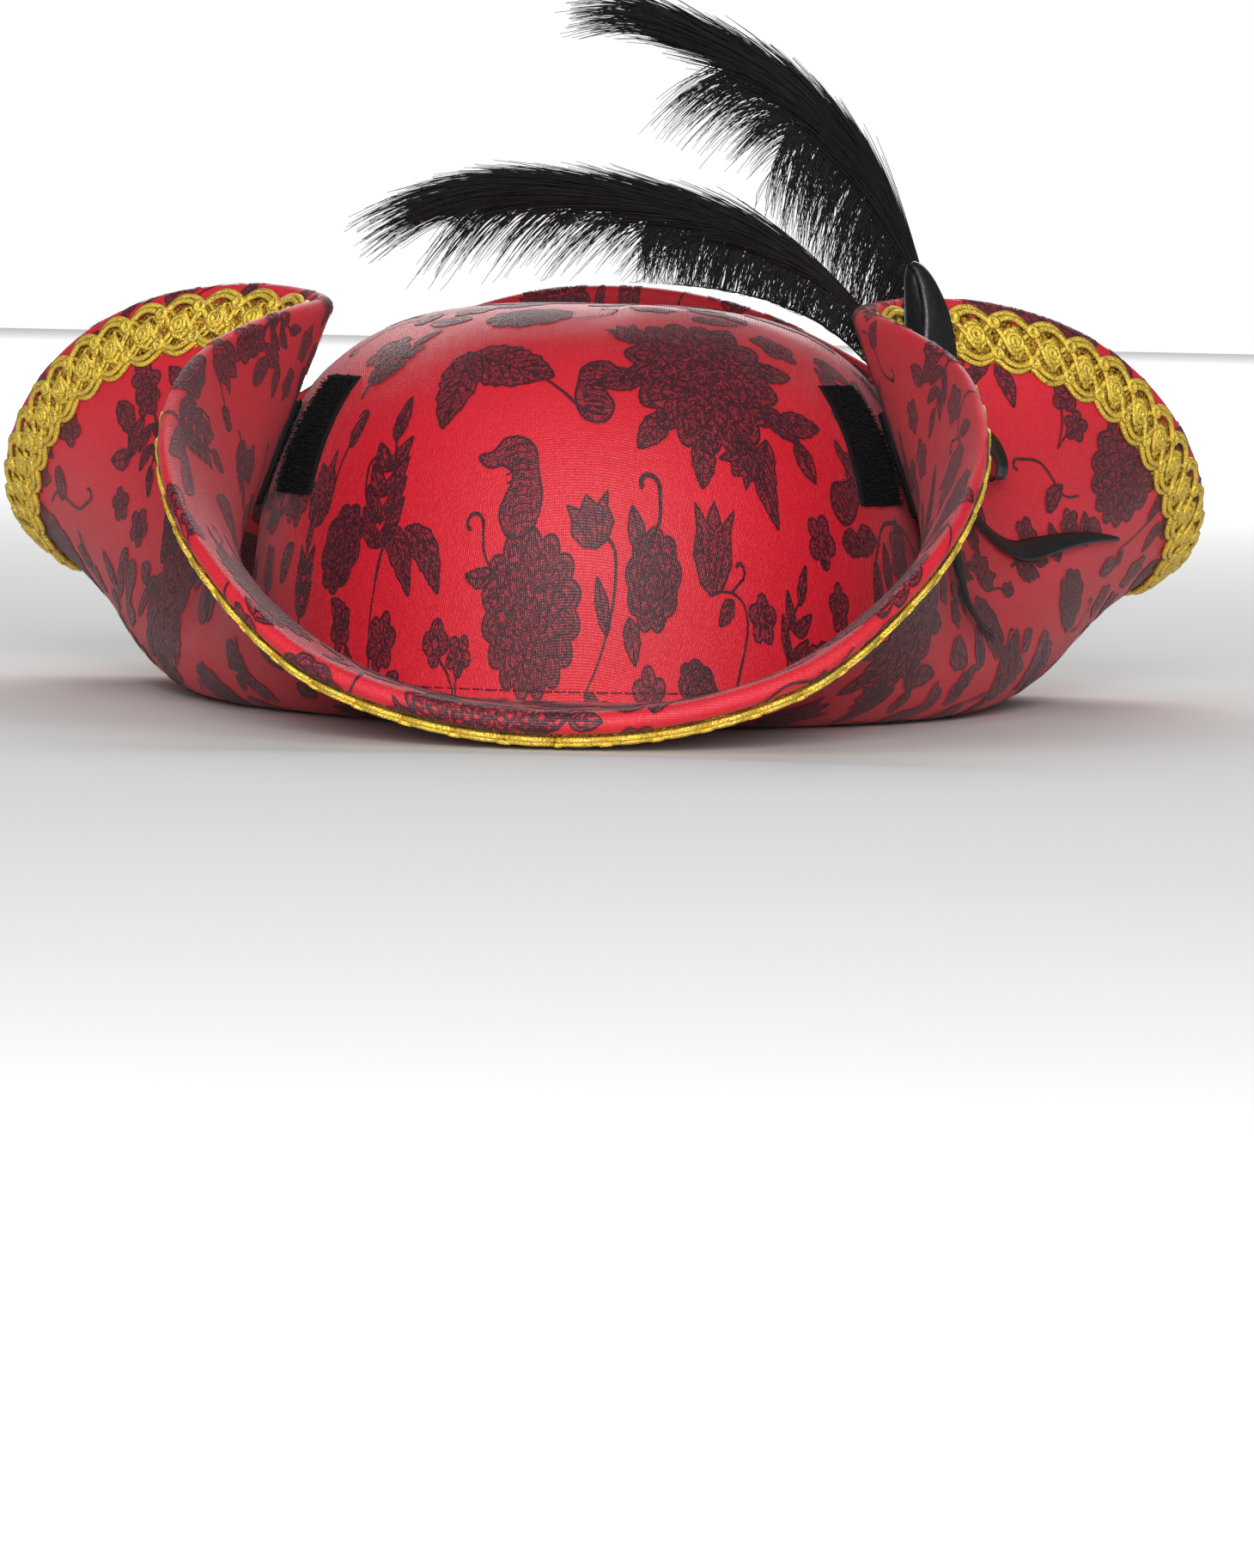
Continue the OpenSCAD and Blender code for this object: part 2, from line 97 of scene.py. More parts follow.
for light_name, place, goal, width, power in (
        ("front_softbox", (0.1, -2.4, 0.5), (0, 0, 0.05), 0.75, 66),
        ("top_softbox", (-0.4, -0.9, 2.0), (0, 0, 0.05), 1.6, 4),
        ("back_softbox", (0.3, 2.2, 1.2), (0, 0, 0.05), 1.4, 9),
        ("floor_wash", (0, 5.0, 2.6), (0, 5.2, 0), 4.0, 300)):
    lamp = bpy.data.lights.new(light_name, "AREA")
    lamp.size, lamp.energy = width, power
    light = bpy.data.objects.new(light_name, lamp)
    light.location = place
    light.rotation_euler = (Vector(goal) - Vector(place)).to_track_quat("-Z", "Y").to_euler()
    bpy.context.scene.collection.objects.link(light)


class Shade:
    """A shader socket that takes part in plain expressions."""

    def __init__(self, tree, socket=None):
        self.tree, self.socket = tree, socket

    def node(self, kind, settings=None, values=None, out=0):
        made = self.tree.nodes.new(kind)
        for name, value in (settings or {}).items():
            if name == "stops":
                ramp = made.color_ramp
                while len(ramp.elements) < len(value):
                    ramp.elements.new(1)
                for stop, (at, colour) in zip(ramp.elements, value):
                    stop.position, stop.color = at, (*colour, 1)
            else:
                setattr(made, name, value)
        for name, value in (values or {}).items():
            if isinstance(value, Shade):
                self.tree.links.new(value.socket, made.inputs[name])
            else:
                made.inputs[name].default_value = value
        return Shade(self.tree, made.outputs[out])

    def maths(self, operation, other=0.0):
        return self.node("ShaderNodeMath", {"operation": operation}, {0: self, 1: other})

    def __add__(self, other):
        return self.maths("ADD", other)

    def __mul__(self, other):
        return self.maths("MULTIPLY", other)

    def __sub__(self, other):
        return self.maths("SUBTRACT", other)

    def __rsub__(self, other):
        return self.node("ShaderNodeMath", {"operation": "SUBTRACT"}, {0: other, 1: self})

    __radd__, __rmul__ = __add__, __mul__

    def noise(self, scale, detail=2.0, where=None):
        where = where or self.node("ShaderNodeTexCoord", out=3)
        return self.node("ShaderNodeTexNoise", {}, {"Vector": where, "Scale": scale, "Detail": detail})

    def between(self, low, high):
        return self.node("ShaderNodeMapRange", {}, {"Value": self, "From Min": low, "From Max": high})

    def tint(self, colour_a, colour_b):
        a, b = (c if isinstance(c, Shade) else (*c, 1) for c in (colour_a, colour_b))
        return self.node("ShaderNodeMix", {"data_type": "RGBA"}, {0: self, 6: a, 7: b}, out=2)

    def bump(self, depth, strength=0.6):
        return self.node("ShaderNodeBump", {}, {"Height": self, "Distance": depth, "Strength": strength})


def finish_of(name, constants):
    """A material whose shader has these constants, and a Shade to build its patterns with."""
    made = bpy.data.materials.new(name)
    made.use_nodes = True
    shader = made.node_tree.nodes["Principled BSDF"]
    for socket, value in constants.items():
        shader.inputs[socket].default_value = value

    def feed(**links):
        for socket, value in links.items():
            made.node_tree.links.new(value.socket, shader.inputs[socket.replace("_", " ")])
    return made, Shade(made.node_tree), feed


paper, shade, feed = finish_of("pale_floor", {"Roughness": 0.9})
feed(Base_Color=shade.noise(3.0).tint((0.8, 0.8, 0.8), (0.84, 0.84, 0.84)))
floor_mesh = bpy.data.meshes.new("floor")
floor_z = cad_box[0].z - 0.0006
floor_corners = ((-9, -9), (9, -9), (9, 9), (-9, 9))
floor_mesh.from_pydata([(x, y, floor_z) for x, y in floor_corners], [], [(0, 1, 2, 3)])
floor_mesh.materials.append(paper)
floor = bpy.data.objects.new("floor", floor_mesh)
bpy.context.scene.collection.objects.link(floor)

# ---- The crown ------------------------------------------------------------------------
# A domed shell of red woven cloth laminated to thin foam and moulded over a block, so its
# cloth has no seam above the brim. Its lengths, like all below, are in millimetres.

crown_half_width, crown_half_depth, crown_height = 83.0, 100.0, 94.0
crown_square = 3.2
crown_wall = 2.9
brim_half = 2.5
moulding_stretch, moulding_power = 1.3, 0.92

lift = np.linspace(0, math.pi / 2, 1201)
outline_share = np.cos(lift) ** (2 / crown_square)
outline_rise = np.sin(lift) ** (2 / crown_square)
mean_radius = (crown_half_width + crown_half_depth) / 2
outline_arc = np.concatenate([[0], np.cumsum(np.hypot(
    np.diff(outline_share) * mean_radius, np.diff(outline_rise) * crown_height))])
crown_arc = outline_arc[-1]


def ellipse(u, half_width, half_depth):
    """Points of an oval at angle u, in radians from the front."""
    return np.stack([half_width * np.sin(u), -half_depth * np.cos(u)], -1)


def crown_point(u, v, out):
    """The crown's face at angle u and share v of the way down from its top, this far out."""
    down = np.minimum(v, 1)
    share = np.interp((1 - down) * crown_arc, outline_arc, outline_share)
    rise = np.interp((1 - down) * crown_arc, outline_arc, outline_rise)
    rim = ellipse(u, crown_half_width + out, crown_half_depth + out) * share[..., None]
    height = (crown_height + out) * rise - np.maximum(v - 1, 0) * crown_arc
    return np.concatenate([rim, height[..., None]], -1)


def crown_flat(u, v):
    """Where a point of the crown was on the flat cloth."""
    reach = moulding_stretch * v ** moulding_power
    return ellipse(u, crown_half_width, crown_half_depth) * reach[..., None]


def piece(name, points, faces, material, flat=None, normals=None, closed=True):
    """A smooth mesh piece from points in millimetres, turned to face outwards if it is closed."""
    mesh = bpy.data.meshes.new(name)
    mesh.from_pydata((np.asarray(points) / 1000).tolist(), [], faces)
    if closed:
        work = bmesh.new()
        work.from_mesh(mesh)
        bmesh.ops.recalc_face_normals(work, faces=work.faces)
        work.to_mesh(mesh)
        work.free()
    mesh.materials.append(material)
    mesh.shade_smooth()
    if flat is not None:
        corner = np.zeros(len(mesh.loops), int)
        mesh.loops.foreach_get("vertex_index", corner)
        mesh.uv_layers.new(name="cloth").data.foreach_set(
            "uv", np.asarray(flat, np.float32)[corner].ravel())
    if normals is not None:
        mesh.normals_split_custom_set_from_vertices(np.asarray(normals).tolist())
    made = bpy.data.objects.new(name, mesh)
    bpy.context.scene.collection.objects.link(made)
    return made


def grid_faces(columns, rows, round_and_round, start=0, flip=False):
    """Faces of a grid of points kept column by column."""
    faces = []
    for i in range(columns if round_and_round else columns - 1):
        here, there = start + i * rows, start + (i + 1) % columns * rows
        for j in range(rows - 1):
            face = (here + j, there + j, there + j + 1, here + j + 1)
            faces.append(face[::-1] if flip else face)
    return faces


def rolled_faces(columns, rows, round_and_round=False):
    """Faces of a grid whose columns are closed loops; its ends are closed unless it runs round."""
    faces = grid_faces(columns, rows, round_and_round)
    for i in range(columns if round_and_round else columns - 1):
        here, there = i * rows, (i + 1) % columns * rows
        faces.append((here + rows - 1, there + rows - 1, there, here))
    if not round_and_round:
        faces += [tuple(range(rows))[::-1], tuple((columns - 1) * rows + k for k in range(rows))]
    return faces


def shell(name, outer, inner, material, flat=None):
    """A domed shell from two grids of columns that run from the top down; its top is closed."""
    columns, rows = outer.shape[:2]
    points = [outer.reshape(-1, 3), inner.reshape(-1, 3),
              outer[:, :1].mean(0), inner[:, :1].mean(0)]
    n = columns * rows
    faces = grid_faces(columns, rows, True, 0, True) + grid_faces(columns, rows, True, n)
    for i in range(columns):
        a, b = i * rows, (i + 1) % columns * rows
        faces.append((a + rows - 1, n + a + rows - 1, n + b + rows - 1, b + rows - 1))
        faces.append((2 * n, a, b))
        faces.append((2 * n + 1, n + b, n + a))
    if flat is not None:
        flat = np.concatenate([flat.reshape(-1, 2)] * 2 + [np.zeros((2, 2))])
    return piece(name, np.concatenate(points), faces, material, flat)


def printed_finish(name, colour_a, colour_b, thread_noise):
    """The cloth's face, in plain weave, as red ground or as ink on it."""
    made, shade, feed = finish_of(name, {
        "Sheen Weight": 0.12, "Sheen Roughness": 0.34, "Sheen Tint": (1.0, 0.74, 0.78, 1),
        "Specular IOR Level": 0.5})
    flat = shade.node("ShaderNodeUVMap", {"uv_map": "cloth"})
    threads = {"Vector": flat, "Scale": 0.62, "Distortion": 0.7, "Detail": 1.0, "Detail Scale": 2.0}
    over, under = [shade.node("ShaderNodeTexWave", {"bands_direction": way}, threads) for way in "XY"]
    weave = over * under
    contour = (shade.noise(thread_noise, 1.0, flat) * 9.0).maths("PINGPONG", 0.5) * 2.0
    mottle = contour.between(0.35, 0.75)
    cloudy = shade.noise(28.0, 3.0).between(0.3, 0.7)
    ground = mottle.tint(colour_a, colour_b)
    deeper = (cloudy * 0.16 + weave * 0.14).tint(ground, tuple(c * 0.45 for c in colour_a))
    feed(Base_Color=deeper, Roughness=0.46 + weave * 0.14 + mottle * 0.06,
         Normal=(weave + mottle * 0.5).bump(0.00018, 0.5))
    return made


red_cloth = printed_finish("red_cloth", (0.56, 0.006, 0.020), (0.61, 0.009, 0.025), 0.4)
crown_round = np.radians(np.arange(0, 360, 2.0))
crown_down = np.concatenate([np.linspace(0.012, 1, 62), [1 + brim_half / crown_arc]])
u_grid, v_grid = np.meshgrid(crown_round, crown_down, indexing="ij")
crown = shell("crown", crown_point(u_grid, v_grid, 0.0), crown_point(u_grid, v_grid, -crown_wall),
              red_cloth, crown_flat(u_grid, v_grid))
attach(crown, "hat")
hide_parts("crown_cover", "crown_foam")

# ---- The brim -------------------------------------------------------------------------
# A ring of foam with printed cloth on both faces and round its cut edge, sewn to the crown
# and folded up at both sides and behind. It is one ring; it is cut into four quarters here,
# each with its foam and cloth in one mesh.

brim_folds = np.array([  # angle from the front, fold, radius of the fold, flat run, width
    (0, 2, 38, 12, 106), (15, 9, 36, 12, 106), (25, 27, 31, 12, 105), (33, 48, 27, 11, 103),
    (41, 73, 22, 9, 103), (49, 94, 17, 8, 106), (57, 107, 14, 8, 112), (66, 112, 12, 8, 116),
    (78, 105, 14, 8, 116), (90, 85, 20, 8, 109), (102, 61, 32, 8, 98), (114, 40, 50, 8, 92),
    (125, 30, 64, 8, 93), (137, 37, 50, 8, 97), (150, 61, 32, 8, 104), (164, 88, 18, 8, 112),
    (180, 98, 14, 8, 115)], float)
edge_turn = math.pi * brim_half
seam_tuck = 1.5


def fold_values(u):
    """Fold, radius, flat run and width at angles u, in degrees, on a smooth curve."""
    v = np.abs((u + 180) % 360 - 180)
    at, values = brim_folds[:, 0], brim_folds[:, 1:]
    slope = np.zeros_like(values)
    slope[1:-1] = (values[2:] - values[:-2]) / (at[2:] - at[:-2])[:, None]
    i = np.clip(np.searchsorted(at, v, side="right") - 1, 0, len(at) - 2)
    h = at[i + 1] - at[i]
    t = ((v - at[i]) / h)[..., None]
    h = h[..., None]
    mixed = ((2 * t**3 - 3 * t**2 + 1) * values[i] + (t**3 - 2 * t**2 + t) * h * slope[i]
             + (3 * t**2 - 2 * t**3) * values[i + 1] + (t**3 - t**2) * h * slope[i + 1])
    return np.moveaxis(mixed, -1, 0)


def brim_width(u):
    return fold_values(u)[3]


def outward(u):
    """The way straight out from the crown's seam at angles u, in degrees."""
    way = np.stack([np.sin(np.radians(u)) / crown_half_width,
                    -np.cos(np.radians(u)) / crown_half_depth], -1)
    return way / np.linalg.norm(way, axis=-1, keepdims=True)


def brim_point(u, s, t):
    """The brim at angle u in degrees, s along the sheet from the seam, t above its middle."""
    fold, bend, run, _ = fold_values(u)
    fold = np.radians(fold)
    a = np.minimum(np.maximum(s - run, 0) / bend, fold)
    rest = np.maximum(0, s - run - bend * fold)
    r = np.minimum(s, run) + bend * np.sin(a) + rest * np.cos(a) - t * np.sin(a)
    z = bend * (1 - np.cos(a)) + rest * np.sin(a) + t * np.cos(a)
    seam = ellipse(np.radians(u), crown_half_width, crown_half_depth)
    return np.concatenate([seam + outward(u) * r[..., None], z[..., None]], -1)


def wrapped_point(u, q, out):
    """The brim's cloth, q along it from the seam: over the upper face, round the edge and back."""
    bend_from = brim_width(u) - brim_half
    turn = np.clip((q - bend_from) / brim_half, 0, math.pi)
    under = np.maximum(q - bend_from - edge_turn, 0)
    s = np.minimum(q, bend_from) + (brim_half + out) * np.sin(turn) - under
    return brim_point(u, s, (brim_half + out) * np.cos(turn))


ring_step = 1.2
ring_u = np.arange(0, 360, ring_step)
upper_rows, edge_rows = 64, 8
rows = []
for u in ring_u:
    reach = float(brim_width(u)) - brim_half
    rows.append(np.concatenate([
        np.linspace(-seam_tuck, reach, upper_rows),
        reach + edge_turn * np.arange(1, edge_rows) / edge_rows,
        np.linspace(reach + edge_turn, 2 * reach + edge_turn + seam_tuck, upper_rows)]))
ring_q = np.array(rows)
ring_points = wrapped_point(ring_u[:, None] + 0 * ring_q, ring_q, 0.0)
along = np.roll(ring_points, -1, 0) - np.roll(ring_points, 1, 0)
inward = np.gradient(ring_points, axis=1)
ring_normals = np.cross(along, inward)
ring_normals /= np.linalg.norm(ring_normals, axis=-1, keepdims=True)
if ring_normals[0, 5, 2] < 0:
    ring_normals = -ring_normals
seam_line = ellipse(np.radians(ring_u), crown_half_width, crown_half_depth)
ring_flat = seam_line[:, None] + outward(ring_u)[:, None] * ring_q[..., None]

fold_crest = 66.0
quarters = {  # name: first angle, last angle, the flap's body, and where its bending starts and ends
    "brim_front_right": (0, fold_crest, "right_flap", (0.008, 0, 0), (0.062, 0, 0)),
    "brim_rear_right": (fold_crest, 180, "right_flap", (0, 0.075, 0), (0, -0.015, 0)),
    "brim_rear_left": (180, 360 - fold_crest, "left_flap", (0, 0.075, 0), (0, -0.015, 0)),
    "brim_front_left": (360 - fold_crest, 360, "left_flap", (-0.008, 0, 0), (-0.062, 0, 0))}
stands_for = {
    "brim_front_right": ("right_flap_top_cover", "right_flap_foam"),
    "brim_rear_right": ("right_flap_under_cover", "brim_foam"),
    "brim_rear_left": ("left_flap_under_cover", "brim_under_cover"),
    "brim_front_left": ("left_flap_top_cover", "left_flap_foam", "brim_top_cover")}


def bends_with(made):
    """Bakes the piece's place into its mesh points."""
    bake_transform(made)


for name, (first, last, flap, _, _) in quarters.items():
    chosen = np.arange(round(first / ring_step), round(last / ring_step) + 1) % len(ring_u)
    columns, count = len(chosen), ring_q.shape[1]
    points = ring_points[chosen].reshape(-1, 3)
    normals = ring_normals[chosen].reshape(-1, 3)
    flat = ring_flat[chosen].reshape(-1, 2)
    faces = grid_faces(columns, count, False, 0, True)
    for i in range(columns - 1):
        faces.append((i * count, (i + 1) * count, (i + 1) * count + count - 1, i * count + count - 1))
    half = count // 2
    for column, side in ((0, -1), (columns - 1, 1)):  # the cut ends, closed with points of their own
        start = len(points)
        cut = ring_points[chosen[column]]
        away = np.cross(cut[half] - cut[0], cut[-1] - cut[0])
        points = np.concatenate([points, cut])
        normals = np.concatenate([normals, np.tile(away / np.linalg.norm(away) * side, (count, 1))])
        flat = np.concatenate([flat, ring_flat[chosen[column]]])
        for j in range(half):
            cap = (start + j, start + j + 1, start + count - 2 - j, start + count - 1 - j)
            cap = tuple(dict.fromkeys(cap))
            if len(cap) > 2:
                faces.append(cap[::-1] if side < 0 else cap)
    quarter = piece(name, points, faces, red_cloth, flat, normals, False)
    bends_with(quarter)
    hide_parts(*stands_for[name])

# ---- The printed flowers --------------------------------------------------------------
# A repeat of peonies, tulips, buds, sprays and scrolls, printed in dark maroon line on the
# red cloth before it is cut. Every motif has an outline, veins and a scribbled filling.

ink_fill = printed_finish("ink_filling", (0.050, 0.005, 0.012), (0.29, 0.009, 0.022), 0.33)
ink_line = printed_finish("ink_line", (0.034, 0.004, 0.009), (0.055, 0.006, 0.012), 0.5)
fill_lift, line_lift = 0.16, 0.24
fill_step, line_step = 2.1, 1.3


def smooth(points, closed=False, step=line_step):
    """An even, smooth curve through a few points."""
    p = np.array(points, float)
    ends = (p[-1:], p[:1], p[1:2]) if closed else (2 * p[:1] - p[1:2], 2 * p[-1:] - p[-2:-1])
    p = np.concatenate([ends[0], p, *ends[1:]])
    made = []
    for a, b, c, d in zip(p, p[1:], p[2:], p[3:]):
        n = max(1, round(np.linalg.norm(c - b) / step))
        t = (np.arange(n) / n)[:, None]
        made.append(0.5 * (2 * b + (c - a) * t + (2 * a - 5 * b + 4 * c - d) * t**2
                           + (3 * b - a - 3 * c + d) * t**3))
    return np.concatenate(made + ([] if closed else [p[-2:-1]]))


class Motif:
    """Filled patches and drawn lines on flat cloth, as loose points and faces."""

    def __init__(self):
        self.parts = {"fill": ([], [], 0), "line": ([], [], 0)}

    def add(self, part, points, faces):
        held, made, count = self.parts[part]
        held.append(np.asarray(points, float))
        made += [tuple(k + count for k in face) for face in faces]
        self.parts[part] = (held, made, count + len(points))

    def patch(self, outline, draw=0.5):
        outline = np.asarray(outline)
        low, high = outline.min(0), outline.max(0)
        inner = [(x, y) for i, y in enumerate(np.arange(low[1] + fill_step / 2, high[1], fill_step))
                 for x in np.arange(low[0] + fill_step * (0.5 if i % 2 else 1), high[0], fill_step)]
        n = len(outline)
        edges = [(i, (i + 1) % n) for i in range(n)]
        points, _, faces, *_ = geometry.delaunay_2d_cdt(
            [Vector(p) for p in outline] + [Vector(p) for p in inner], edges, [], 1, 1e-5)
        self.add("fill", [tuple(p) for p in points], faces)
        if draw:
            self.line(np.concatenate([outline, outline[:1]]), draw)

    def line(self, points, width, tip=None):
        points = np.asarray(points, float)
        n = len(points)
        way = np.gradient(points, axis=0)
        side = np.stack([-way[:, 1], way[:, 0]], -1)
        side /= np.maximum(np.linalg.norm(side, axis=1, keepdims=True), 1e-9)
        half = np.linspace(width, width if tip is None else tip, n)[:, None] / 2
        both = np.concatenate([points + side * half, points - side * half])
        self.add("line", both, [(i, n + i, n + i + 1, i + 1) for i in range(n - 1)])


def leaf(motif, base, tip, width, teeth=5, sweep=0.0):
    """A toothed leaf from base to tip with a midrib and side veins."""
    base, tip = np.array(base, float), np.array(tip, float)
    way = tip - base
    length = np.linalg.norm(way)
    along, beside = way / length, np.array([-way[1], way[0]]) / length
    n = max(8, int(length / 1.1))
    t = np.linspace(0, 1, n)
    middle = base + t[:, None] * way + np.outer(sweep * length * np.sin(math.pi * t) * 0.5, beside)
    spread = width / 2 * np.sin(math.pi * t ** 0.8) ** 0.75 * (1 + 0.22 * ((teeth * t) % 1 - 0.5))
    spread[0] = spread[-1] = 0.15
    left, right = middle + beside * spread[:, None], middle - beside * spread[:, None]
    motif.patch(np.concatenate([left, right[::-1]]), 0.42)
    motif.line(middle, 0.5, 0.3)
    for k in np.linspace(0.15, 0.75, max(2, int(length / 3.2))):
        i, j = int(k * (n - 1)), min(n - 1, int((k + 0.14) * (n - 1)) + 1)
        for edge in (left, right):
            halfway = (middle[i] + edge[j]) / 2 + along * 0.2
            motif.line([middle[i], halfway, middle[j] * 0.25 + edge[j] * 0.75], 0.34)


def scalloped(centre, wide, tall, petals, depth, turn=0.0, n=None):
    """A closed ring with rounded lobes."""
    n = n or petals * 6
    a = np.arange(n) / n * 2 * math.pi
    r = 1 - depth + depth * 2 * np.abs(np.sin(petals * a / 2 + turn))
    ring = np.stack([wide / 2 * r * np.cos(a + turn), tall / 2 * r * np.sin(a + turn)], -1)
    return np.array(centre) + ring


def peony(motif, centre, wide, tall, petals=13):
    """A full flower: a ragged head with rings of lobed petals inside."""
    motif.patch(scalloped(centre, wide, tall, petals, 0.07), 0.55)
    for ring, share in enumerate((0.84, 0.68, 0.52, 0.36, 0.2)):
        lobes = max(5, petals - 2 * ring)
        loop = scalloped(centre, wide * share, tall * share, lobes, 0.13, 0.5 * ring)
        motif.line(np.concatenate([loop, loop[:1]]), 0.5)
        inner = scalloped(centre, wide * (share - 0.1), tall * (share - 0.1), lobes, 0.1, 0.5 * ring)
        for k in range(0, len(loop), 3):
            motif.line([loop[k], inner[k]], 0.36)


def bloom(motif, centre, size, petals=5, turn=0.0):
    """A small open flower."""
    centre = np.array(centre, float)
    motif.patch(scalloped(centre, size, size, petals, 0.2, turn), 0.45)
    core = scalloped(centre, size * 0.34, size * 0.34, 6, 0.05)
    motif.line(np.concatenate([core, core[:1]]), 0.4)
    for k in range(petals * 2):
        a = 2 * math.pi * k / petals / 2 + turn
        way = np.array([math.cos(a), math.sin(a)])
        motif.line([centre + way * size * 0.2, centre + way * size * 0.4], 0.32)


def scroll(motif, points, width=1.1, curl=0.0, radius=3.0):
    """A tendril along a few points that ends in a coil, which turns by curl radians."""
    line = smooth(points)
    if curl:
        end, way = line[-1], line[-1] - line[-2]
        heading = math.atan2(way[1], way[0])
        side = math.copysign(1, curl)
        hub = end + radius * np.array([-math.sin(heading), math.cos(heading)]) * side
        a = np.linspace(0, abs(curl), int(abs(curl) * 4))
        shrink = radius * (1 - 0.72 * a / abs(curl))
        spin = heading - side * math.pi / 2 + side * a
        line = np.concatenate([line, hub + shrink[:, None] * np.stack([np.cos(spin), np.sin(spin)], -1)])
    motif.line(line, width * 0.6, width)


def seahorse(motif, at, tall, flip=1):
    """A curled, hatched bud, lobed at its head and full at its foot."""
    shape = np.array([(-0.12, -0.5), (0.16, -0.48), (0.3, -0.2), (0.27, 0.1), (0.24, 0.33), (0.1, 0.47),
                      (-0.1, 0.5), (-0.22, 0.4), (-0.4, 0.4), (-0.3, 0.25), (-0.12, 0.22), (-0.02, 0.1),
                      (-0.1, -0.05), (-0.22, -0.25)]) * (tall * flip, tall)
    outline = smooth(shape + at, True)
    motif.patch(outline, 0.5)
    for k in np.linspace(-0.4, 0.38, 10):
        motif.line(np.array([(-0.1, k), (0.05, k + 0.03), (0.19, k)]) * (tall * flip, tall) + at, 0.36)


def tulip(motif, at, wide, tall, turn=0.0):
    """A cup of pointed petals."""
    shape = np.array([(0, -0.5), (0.3, -0.4), (0.5, -0.1), (0.42, 0.2), (0.5, 0.48), (0.2, 0.26), (0, 0.5),
                      (-0.2, 0.26), (-0.46, 0.44), (-0.42, 0.15), (-0.5, -0.12), (-0.3, -0.4)])
    spin = np.array([[math.cos(turn), math.sin(turn)], [-math.sin(turn), math.cos(turn)]])
    place = lambda points: np.array(points) * (wide, tall) @ spin + at
    outline = np.concatenate([np.linspace(a, b, 4)[:3] for a, b in zip(shape, np.roll(shape, -1, 0))])
    motif.patch(place(outline), 0.5)
    for x in (-0.26, -0.1, 0.1, 0.26):
        motif.line(place([(x * 0.4, -0.42), (x, -0.1), (x * 1.2, 0.2)]), 0.42)
    motif.line(place([(-0.4, 0.1), (-0.18, -0.1), (0, 0.2), (0.18, -0.1), (0.4, 0.1)]), 0.42)


def spray(motif, base, tip, leaves=4, size=9.0, sweep=0.2):
    """A stem with leaves in pairs."""
    base, tip = np.array(base, float), np.array(tip, float)
    way = (tip - base) / np.linalg.norm(tip - base)
    beside = np.array([-way[1], way[0]])
    motif.line(smooth([base, (base + tip) / 2 + beside * sweep * size, tip]), 0.9, 0.5)
    for k in range(leaves):
        at = base + (tip - base) * (0.22 + 0.7 * k / leaves)
        for side in (-1, 1):
            leaf(motif, at, at + (way * 0.8 + beside * side * 0.6) * size * (1 - 0.09 * k), size * 0.36, 3,
                 0.12 * side)
    leaf(motif, tip - way, tip + way * size * 0.8, size * 0.34, 3)


